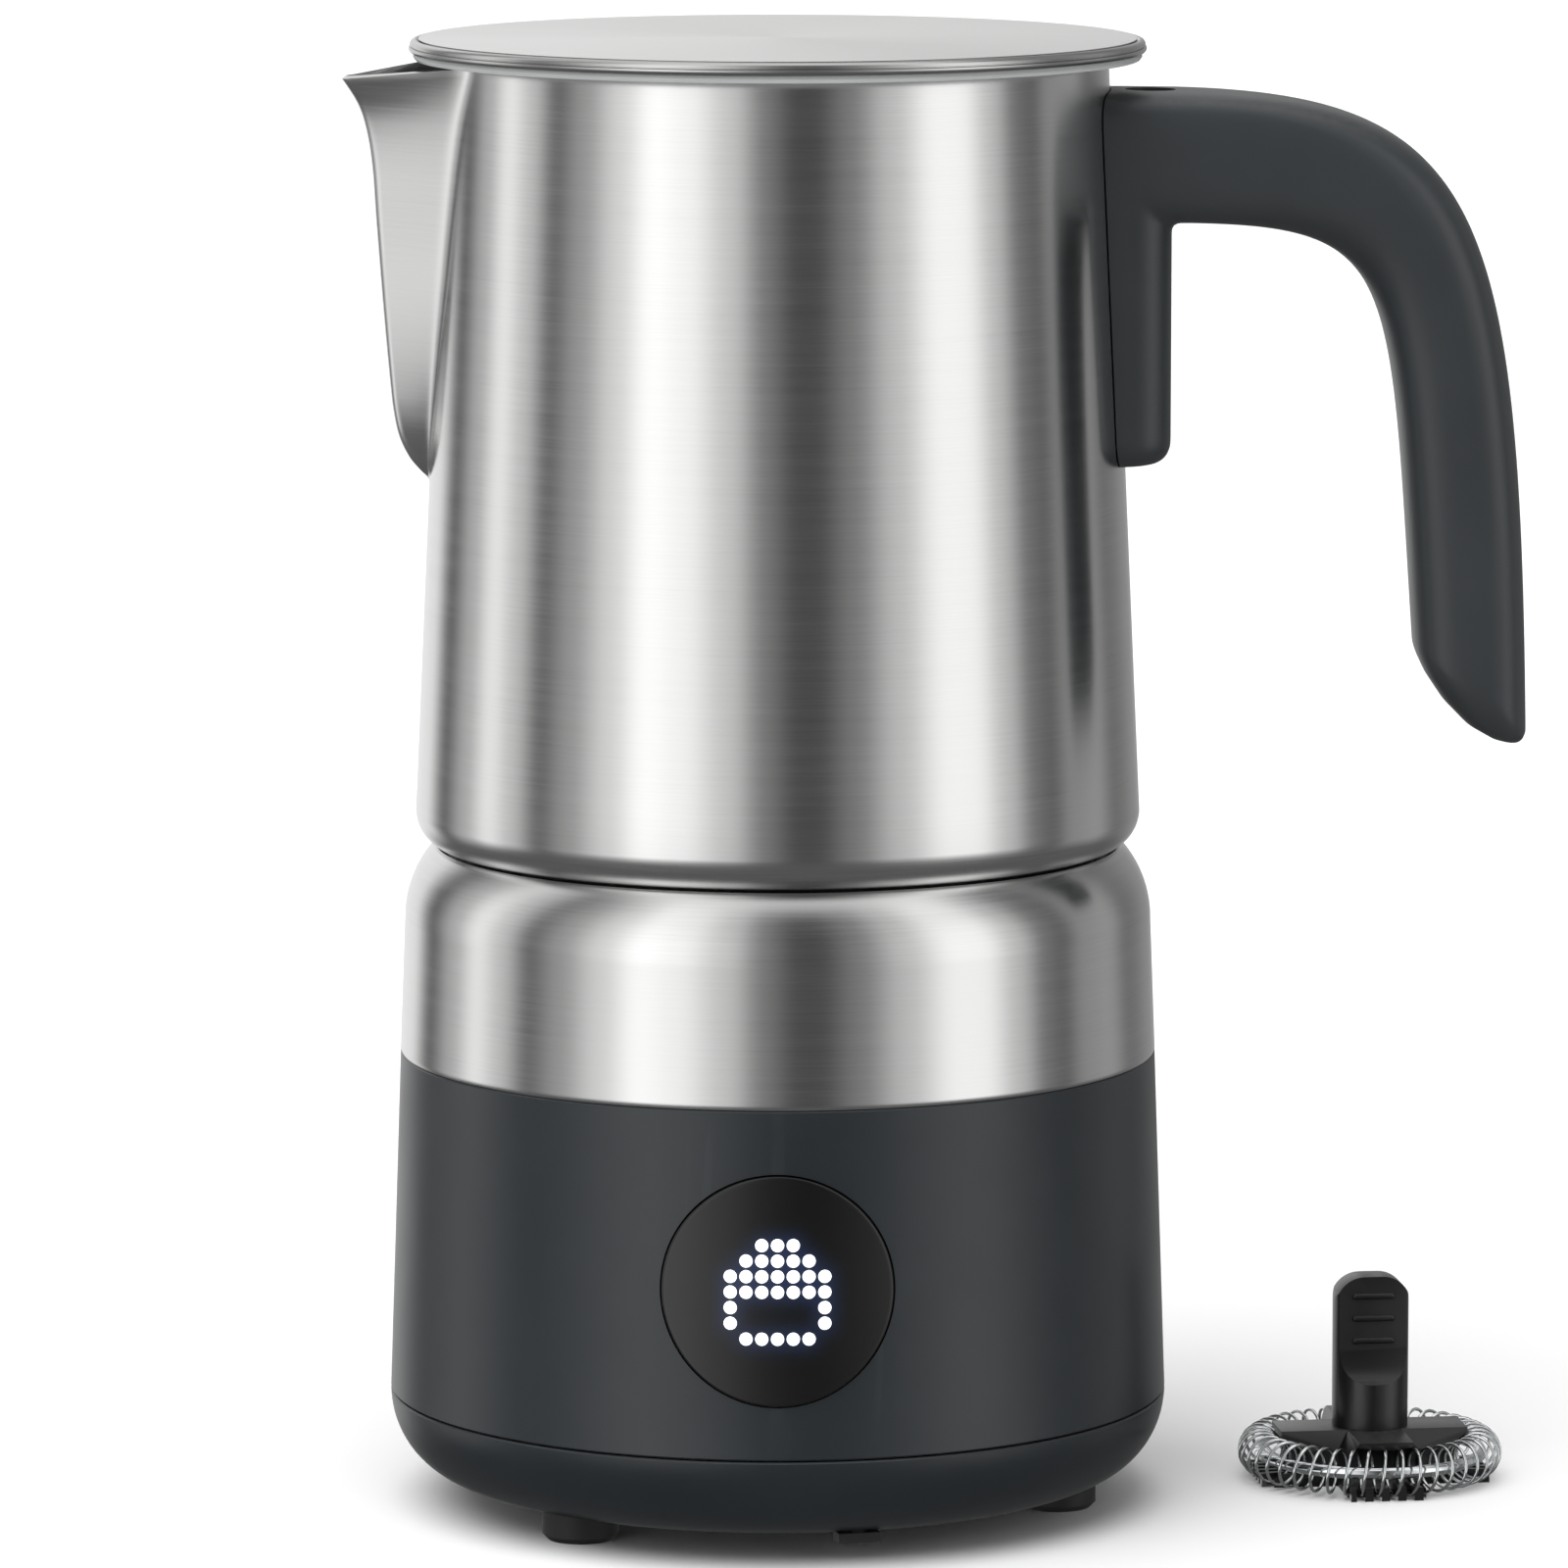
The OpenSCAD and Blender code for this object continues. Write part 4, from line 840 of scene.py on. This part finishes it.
def evenCone(obj):
    # long faces beside the round hole would shade in strips without this
    mesh = obj.data
    lean = math.atan2(base["radius"] - base["seamRadius"], base["seam"] - base["panTop"])
    normals = [tuple(corner.vector) for corner in mesh.corner_normals]
    for face in mesh.polygons:
        away = Vector((face.center.x, face.center.y, 0))
        inside = away.length / mm < bodyRadius(face.center.z / mm) - 0.3
        if inside or face.normal.dot(away.normalized()) < 0.995:
            continue
        for k in face.loop_indices:
            x, y, z = mesh.vertices[mesh.loops[k].vertex_index].co
            across = math.hypot(x, y)
            normals[k] = (x / across * math.cos(lean), y / across * math.cos(lean), math.sin(lean))
    mesh.normals_split_custom_set(normals)


def makeBody():
    low, high, edge = base["panTop"], base["seam"], base["edge"]
    wide, narrow, wall, gap = base["radius"], base["seamRadius"], base["wall"], 0.1
    profile = [(wide - wall, low + gap), (wide - edge, low + gap)]
    profile += [(wide, low + edge + gap), (narrow, high - edge)]
    # the wall turns in to a flat ledge under the steel
    ledge = narrow - 6
    profile += [(narrow - edge, high), (ledge, high), (ledge, high - wall), (narrow - wall, high - wall)]
    obj = lathe("body_shell", profile, 320)
    at, back = button["height"], base["glandHeight"]
    hole = rod("button_cut", button["radius"] + button["gap"], (0, -70, at), (0, -40, at), 160)
    gland = rod("gland_cut", base["glandHole"], (0, 40, back), (0, 70, back))
    combine(obj, [hole, gland], "DIFFERENCE")
    softenEdges(obj, 0.18, angle=50, segments=2)
    shade(obj, 30)
    evenCone(obj)
    finishPiece(obj, "base", charcoal, ["base_body"])


def makeShoulder():
    rim, arcR, wide, seam = jug["seat"], base["shoulderArc"], base["seamRadius"], base["seam"]
    centre, up = base["shoulderRadius"] - arcR, base["shoulderArcHeight"]
    rimAngle = math.degrees(math.asin((rim + base["rimRise"] - up) / arcR))
    # close rings keep the small lower edge from bending the light on the wall
    outer = [(wide - 0.12, seam + 0.08), (wide, seam + 0.3)]
    outer += [(wide - 0.02, seam + 0.8), (wide - 0.04, seam + 1.3)]
    outer += arc(centre, up, arcR, 0, rimAngle - 1.2, 26)
    inner = arc(centre, up, arcR - jug["sheet"], rimAngle, 0, 26)
    rounded = (inner[0][0] + 0.45, inner[0][1] + 0.42)
    profile = outer + [rounded] + inner + [(wide - jug["sheet"], seam + 0.08)]
    obj = lathe("shoulder_ring", profile, 320)
    shade(obj, 40)
    finishPiece(obj, "base", steel, ["shoulder_shell"])


makePan()
makeBody()
makeShoulder()


display = {
    "pitch": 2.12, "dot": 0.89, "dotSides": 28, "glow": 0.8, "glowShare": 0.42,
    # first and last column lit in each row, and whether the row is hollow
    "rows": [
        (2, 4, False), (1, 5, False), (0, 6, False), (0, 6, False), (0, 6, True), (0, 6, True), (1, 5, False),
    ],
}


def faceY(x, z, proud):
    r = bodyRadius(z) + proud
    return -math.sqrt(r * r - x * x)


def litDots():
    half, pitch, centre = (len(display["rows"]) - 1) / 2, display["pitch"], button["height"]
    dots = []
    for row, (first, last, hollow) in enumerate(display["rows"]):
        for column in range(first, last + 1):
            if not hollow or column in (first, last):
                dots.append(((column - half) * pitch, centre - (row - half) * pitch))
    return dots


def makeButton():
    rings = []
    r, edge, centre = button["radius"], button["edge"], button["height"]
    levels = [(r - edge) * (i + 1) / button["rings"] for i in range(button["rings"])]
    sections = [(level, 0.0) for level in levels]
    turns = [math.pi / 2 * i / 5 for i in range(1, 6)]
    sections += [(r - edge + edge * math.sin(a), edge * (1 - math.cos(a))) for a in turns]
    inside = r - button["skirt"]
    sections += [(r, button["depth"]), (inside, button["depth"])]
    sections += [(inside * share / 6, button["wall"]) for share in (6, 5, 4, 3, 2, 1)]
    for radius, back in sections:
        ring = []
        for j in range(button["sides"]):
            a = 2 * math.pi * j / button["sides"]
            x, z = radius * math.cos(a), centre + radius * math.sin(a)
            ring.append((x, faceY(x, z, button["proud"]) + back, z))
        rings.append(ring)
    obj = loftRings("button_face", rings)
    dots, spread = litDots(), 2 * display["glow"] ** 2 * 2.4
    glow = obj.data.attributes.new("glow", "FLOAT", "POINT")
    for vertex, item in zip(obj.data.vertices, glow.data):
        x, z = vertex.co.x / mm, vertex.co.z / mm
        total = sum(math.exp(-((x - px) ** 2 + (z - pz) ** 2) / spread) for px, pz in dots)
        item.value = min(total * display["glowShare"], 1.0)
    shade(obj, 30)
    finishPiece(obj, "button", blackGloss, ["button_cap"])


def makeDots():
    points, faces, sides = [], [], display["dotSides"]
    for px, pz in litDots():
        start = len(points)
        points.append((px, faceY(px, pz, button["proud"] + 0.05), pz))
        for share, lift in ((0.86, 0.045), (1.0, 0.0)):
            for j in range(sides):
                a, r = 2 * math.pi * j / sides, display["dot"] * share
                x, z = px + r * math.cos(a), pz + r * math.sin(a)
                points.append((x, faceY(x, z, button["proud"] + lift), z))
        first, second = start + 1, start + 1 + sides
        for j in range(sides):
            k = (j + 1) % sides
            faces.append((start, first + j, first + k))
            faces.append((first + j, second + j, second + k, first + k))
    obj = makeObject("display_dots", points, faces)
    shade(obj, 60)
    finishPiece(obj, "button", bySlot["led_epoxy"])


makeButton()
makeDots()


sensorCoil = {"turns": 4, "wire": 0.2, "travel": 1.5}


def makeSensorCoil():
    low, high = [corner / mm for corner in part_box("sensor_spring")]
    wire, turns, steps = sensorCoil["wire"], sensorCoil["turns"], 24
    cx, cy, r = (low.x + high.x) / 2, (low.y + high.y) / 2, (high.x - low.x) / 2 - wire
    height = high.z - low.z
    rings = []
    for i in range(steps * turns + 1):
        a = 2 * math.pi * i / steps
        z = low.z + wire + (height - 2 * wire) * i / (steps * turns)
        ring = []
        for b in (math.pi / 4 * k for k in range(8)):
            q = r + wire * math.cos(b)
            ring.append((cx + q * math.cos(a), cy + q * math.sin(a), z + wire * math.sin(b)))
        rings.append(ring)
    obj = loftRings("sensor_coil", rings)
    shade(obj, 80)
    finishPiece(obj, "base", bySlot["screw_steel"], ["sensor_spring"])
    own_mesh(obj)


makeSensorCoil()


whisk = {
    "place": (83.55, 10, 0), "turn": 7, "height": 29.2, "hubRadius": 5.35, "tab": 2.3, "scoop": 5.5,
    "tabHeight": 19.2, "tabCorner": 4.05, "ring": 15.35, "tube": 3.3, "tubeHeight": 3.9, "ringWire": 0.85,
    "wire": 0.235, "turns": 44, "armTop": 7.7, "armWidth": 10.9, "armEnd": 13.3, "chamfer": 1.6,
    "lipEnd": 16.2, "lipHeight": 1.9, "comb": 1.15,
    "ribs": 3, "ribPitch": 3.17, "ribLength": 6.1, "ribRadius": 0.42, "ribDrop": 2.75,
}


def placeWhisk(obj):
    x, y, z = whisk["place"]
    obj.data.transform(Matrix.Rotation(math.radians(whisk["turn"]), 4, "Z"))
    obj.data.transform(Matrix.Translation(Vector((x, y, z)) * mm))


def makeArms(end, top, chamfer):
    # two crossed bars with chamfered upper edges
    w = whisk["armWidth"] / 2
    outline = [(-w, 0), (w, 0), (w, top - chamfer * 1.6), (w - chamfer, top), (-w + chamfer, top),
               (-w, top - chamfer * 1.6)]
    bars = []
    for turn in (0, 90):
        bar = loftRings("bar", [[(x, y, z) for y, z in outline] for x in (-end, end)])
        bar.data.transform(Matrix.Rotation(math.radians(turn), 4, "Z"))
        bars.append(bar)
    combine(bars[0], bars[1:], "UNION")
    return bars[0]


def makeTab():
    # round post with a flat tab on top, its faces scooped out above the arms
    r, top, tab, corner = whisk["hubRadius"], whisk["height"], whisk["tab"], whisk["tabCorner"]
    foot = whisk["tabHeight"]
    post = rod("whisk_frame", r, (0, 0, 1), (0, 0, top), 128)
    cuts = []
    for side in (-1, 1):
        low, high = sorted((side * tab, side * (tab + 20)))
        cuts.append(block("face", (-12, low, foot), (12, high, top + 5)))
        y = side * (tab + whisk["scoop"])
        cuts.append(rod("scoop", whisk["scoop"], (-12, y, foot), (12, y, foot), 96))
    combine(post, cuts, "DIFFERENCE")
    outline = [(-r - 1, -1), (r + 1, -1), (r + 1, top - corner)]
    outline += arc(r - corner, top - corner, corner, 0, 90, 12)
    outline += arc(-r + corner, top - corner, corner, 90, 180, 12) + [(-r - 1, top - corner)]
    shape = loftRings("outline", [[(x, y, z) for x, z in outline] for y in (-12, 12)])
    combine(post, [shape], "INTERSECT")
    softenEdges(post, 0.42, angle=32, segments=3)
    return post


def makeRibs():
    # rounded bars across both faces of the tab
    half, r = whisk["ribLength"] / 2, whisk["ribRadius"]
    stations = [(-half, 0.02)]
    ends = [math.pi / 8 * i for i in range(1, 5)]
    stations += [(-half + r * (1 - math.cos(a)), r * math.sin(a)) for a in ends]
    stations += [(-x, size) for x, size in reversed(stations)]
    ribs = []
    for side in (-1, 1):
        y = side * (whisk["tab"] + 0.04)
        for i in range(whisk["ribs"]):
            z = whisk["height"] - whisk["ribDrop"] - whisk["ribPitch"] * i
            rings = []
            for x, size in stations:
                turns = [math.pi / 10 * k for k in range(20)]
                rings.append([(x, y + size * math.cos(a), z + size * math.sin(a)) for a in turns])
            ribs.append(loftRings("rib", rings))
    return ribs


def makeCombCut():
    slots = []
    turn, inner = 360 / whisk["turns"], whisk["ring"] - whisk["tube"] + 0.3
    half, high = whisk["comb"] / 2, whisk["lipHeight"] + 2
    for quarter in range(4):
        for i in range(-4, 5):
            slot = block("slot", (inner, -half, -1), (inner + 10, half, high))
            slot.data.transform(Matrix.Rotation(math.radians(90 * quarter + (i + 0.25) * turn), 4, "Z"))
            slots.append(slot)
    return mergeMeshes(slots)


def makeWhisk():
    obj = makeArms(whisk["armEnd"], whisk["armTop"], whisk["chamfer"])
    tube = lathe("tube", arc(whisk["ring"], whisk["tubeHeight"], whisk["tube"] + 0.15, 0, 345, 23), 192)
    combine(obj, [tube], "DIFFERENCE")
    softenEdges(obj, 0.25, angle=28, segments=2)
    lip = makeArms(whisk["lipEnd"], whisk["lipHeight"], 0.4)
    combine(lip, [makeCombCut()], "DIFFERENCE")
    obj = mergeMeshes([obj, lip, makeTab()] + makeRibs())
    obj.name = "whisk_frame"
    placeWhisk(obj)
    shade(obj, 34)
    finishPiece(obj, "whisk", blackPlastic, ["whisk_hub"])

    ringR, z = whisk["ring"] + 0.3, whisk["tubeHeight"]
    hoop = lathe("whisk_hoop", arc(ringR, z, whisk["ringWire"], 0, 345, 23), 128)
    placeWhisk(hoop)
    shade(hoop, 60)
    finishPiece(hoop, "whisk", wireShine, ["whisk_ring"])

    steps, sides = whisk["turns"] * 26, 8
    points, faces = [], []
    for i in range(steps):
        a = 2 * math.pi * i / steps
        t = math.pi + a * whisk["turns"]
        for j in range(sides):
            b = 2 * math.pi * j / sides
            reach = whisk["tube"] - whisk["wire"] + whisk["wire"] * math.cos(b)
            q, h = whisk["ring"] + reach * math.cos(t), z + reach * math.sin(t)
            s = whisk["wire"] * math.sin(b)
            points.append((q * math.cos(a) - s * math.sin(a), q * math.sin(a) + s * math.cos(a), h))
            n, k = (i + 1) % steps, (j + 1) % sides
            faces.append((i * sides + j, i * sides + k, n * sides + k, n * sides + j))
    coil = makeObject("whisk_spring", points, faces)
    outward(coil)
    placeWhisk(coil)
    shade(coil, 80)
    finishPiece(coil, "whisk", wireShine, ["whisk_coil"])


makeWhisk()


studio = {
    # direction in degrees from the camera's side, and how bright the studio is there
    "bands": [
        (-180, 0.9), (-150, 0.95), (-133, 0.15), (-118, 0.58), (-105, 1.22), (-94, 0.76),
        (-82, 0.16), (-70, 0.44), (-55, 1.0), (-43, 1.62), (-31, 1.42), (-16, 0.85),
        (-4, 0.26), (6, 0.085), (13, 0.085), (25, 0.27), (40, 0.76), (56, 1.42),
        (66, 1.40), (78, 0.76), (90, 0.22), (98, 0.15), (108, 0.35), (122, 0.40),
        (136, 0.2), (160, 0.3), (180, 0.5),
    ],
    "upperShare": 0.85,      # how much of the bands is left 40 degrees up
    "zenith": 1.0,
    "below": 0.12,
    "sunStrength": 2.3,
    "sunSoftness": 62,       # degrees
    "sunTurn": (24, -16, 0),
    "floorShade": 0.93,
    "floorEdges": (-6000, 6000, -4000, 9000),
}
lens = {
    "distance": 1350, "height": 292, "aside": 0.87, "pitch": 8.08, "fieldOfView": 9.13,
}


def makeStudio():
    scene = bpy.context.scene
    scene.view_settings.view_transform = "Standard"
    world = bpy.data.worlds.new("studio")
    scene.world = world
    world.use_nodes = True
    tree = world.node_tree
    tree.nodes.clear()
    direction = addNode(tree, "TexCoord").outputs["Generated"]
    x, y, z = addNode(tree, "SeparateXYZ", {0: direction}).outputs
    turn = mathNode(tree, "ARCTAN2", x, mathNode(tree, "MULTIPLY", y, -1.0))
    share = mathNode(tree, "ADD", mathNode(tree, "DIVIDE", turn, 2 * math.pi), 0.5)
    ramp = addNode(tree, "ValToRGB", {0: share})
    ramp.color_ramp.interpolation = "EASE"
    while len(ramp.color_ramp.elements) > 1:
        ramp.color_ramp.elements.remove(ramp.color_ramp.elements[-1])
    brightest = max(v for a, v in studio["bands"])
    for i, (angle, value) in enumerate(studio["bands"]):
        at = (angle + 180) / 360
        stop = ramp.color_ramp.elements[0] if i == 0 else ramp.color_ramp.elements.new(at)
        stop.position = at
        stop.color = (value / brightest,) * 3 + (1,)
    bands = mathNode(tree, "MULTIPLY", ramp.outputs[0], brightest)
    lift = addNode(tree, "MapRange", {
        "Value": z, "From Min": 0.25, "From Max": 0.65, "To Min": 1.0, "To Max": studio["upperShare"],
    }, interpolation_type="SMOOTHSTEP").outputs[0]
    upper = mathNode(tree, "MULTIPLY", bands, lift)
    top = addNode(tree, "MapRange", {
        "Value": z, "From Min": 0.75, "From Max": 0.95,
    }, interpolation_type="SMOOTHSTEP").outputs[0]
    low = addNode(tree, "MapRange", {
        "Value": z, "From Min": -0.2, "From Max": -0.42,
    }, interpolation_type="SMOOTHSTEP").outputs[0]
    withTop = addNode(tree, "Mix", {0: top, 2: upper, 3: studio["zenith"]}, data_type="FLOAT").outputs[0]
    light = addNode(tree, "Mix", {0: low, 2: withTop, 3: studio["below"]}, data_type="FLOAT").outputs[0]
    grey = addNode(tree, "CombineColor", {0: light, 1: light, 2: light}).outputs[0]
    back = addNode(tree, "Background", {"Color": grey})
    end = tree.nodes.new("ShaderNodeOutputWorld")
    tree.links.new(back.outputs[0], end.inputs[0])

    sun = bpy.data.lights.new("softSun", "SUN")
    sun.energy = studio["sunStrength"]
    sun.angle = math.radians(studio["sunSoftness"])
    sunObject = bpy.data.objects.new("softSun", sun)
    sunObject.rotation_euler = [math.radians(v) for v in studio["sunTurn"]]
    sunObject.visible_glossy = False
    scene.collection.objects.link(sunObject)

    left, right, near, far = studio["floorEdges"]
    corners = [(left, near, 0), (right, near, 0), (right, far, 0), (left, far, 0)]
    floor = makeObject("floor", corners, [(0, 1, 2, 3)])
    material, tree, shader = blankMaterial("paleFloor")
    place = addNode(tree, "TexCoord").outputs["Object"]
    speckle = addNode(tree, "TexNoise", {"Vector": place, "Scale": 6.0, "Detail": 3.0}).outputs[0]
    shadeOf = studio["floorShade"]
    tone = mixColor(tree, speckle, (shadeOf * 0.99,) * 3 + (1,), (shadeOf,) * 3 + (1,))
    tree.links.new(tone, shader.inputs["Base Color"])
    shader.inputs["Roughness"].default_value = 0.8
    shader.inputs["Specular IOR Level"].default_value = 0.1
    floor.data.materials.append(material)
    floor.visible_glossy = False

    camera = bpy.data.cameras.new("camera")
    camera.sensor_width = 36
    camera.angle = math.radians(lens["fieldOfView"])
    camera.clip_end = 100
    cameraObject = bpy.data.objects.new("camera", camera)
    cameraObject.location = Vector((lens["aside"], -lens["distance"], lens["height"])) * mm
    cameraObject.rotation_euler = (math.radians(90 - lens["pitch"]), 0, 0)
    scene.collection.objects.link(cameraObject)
    scene.camera = cameraObject


makeStudio()
print("made studio")
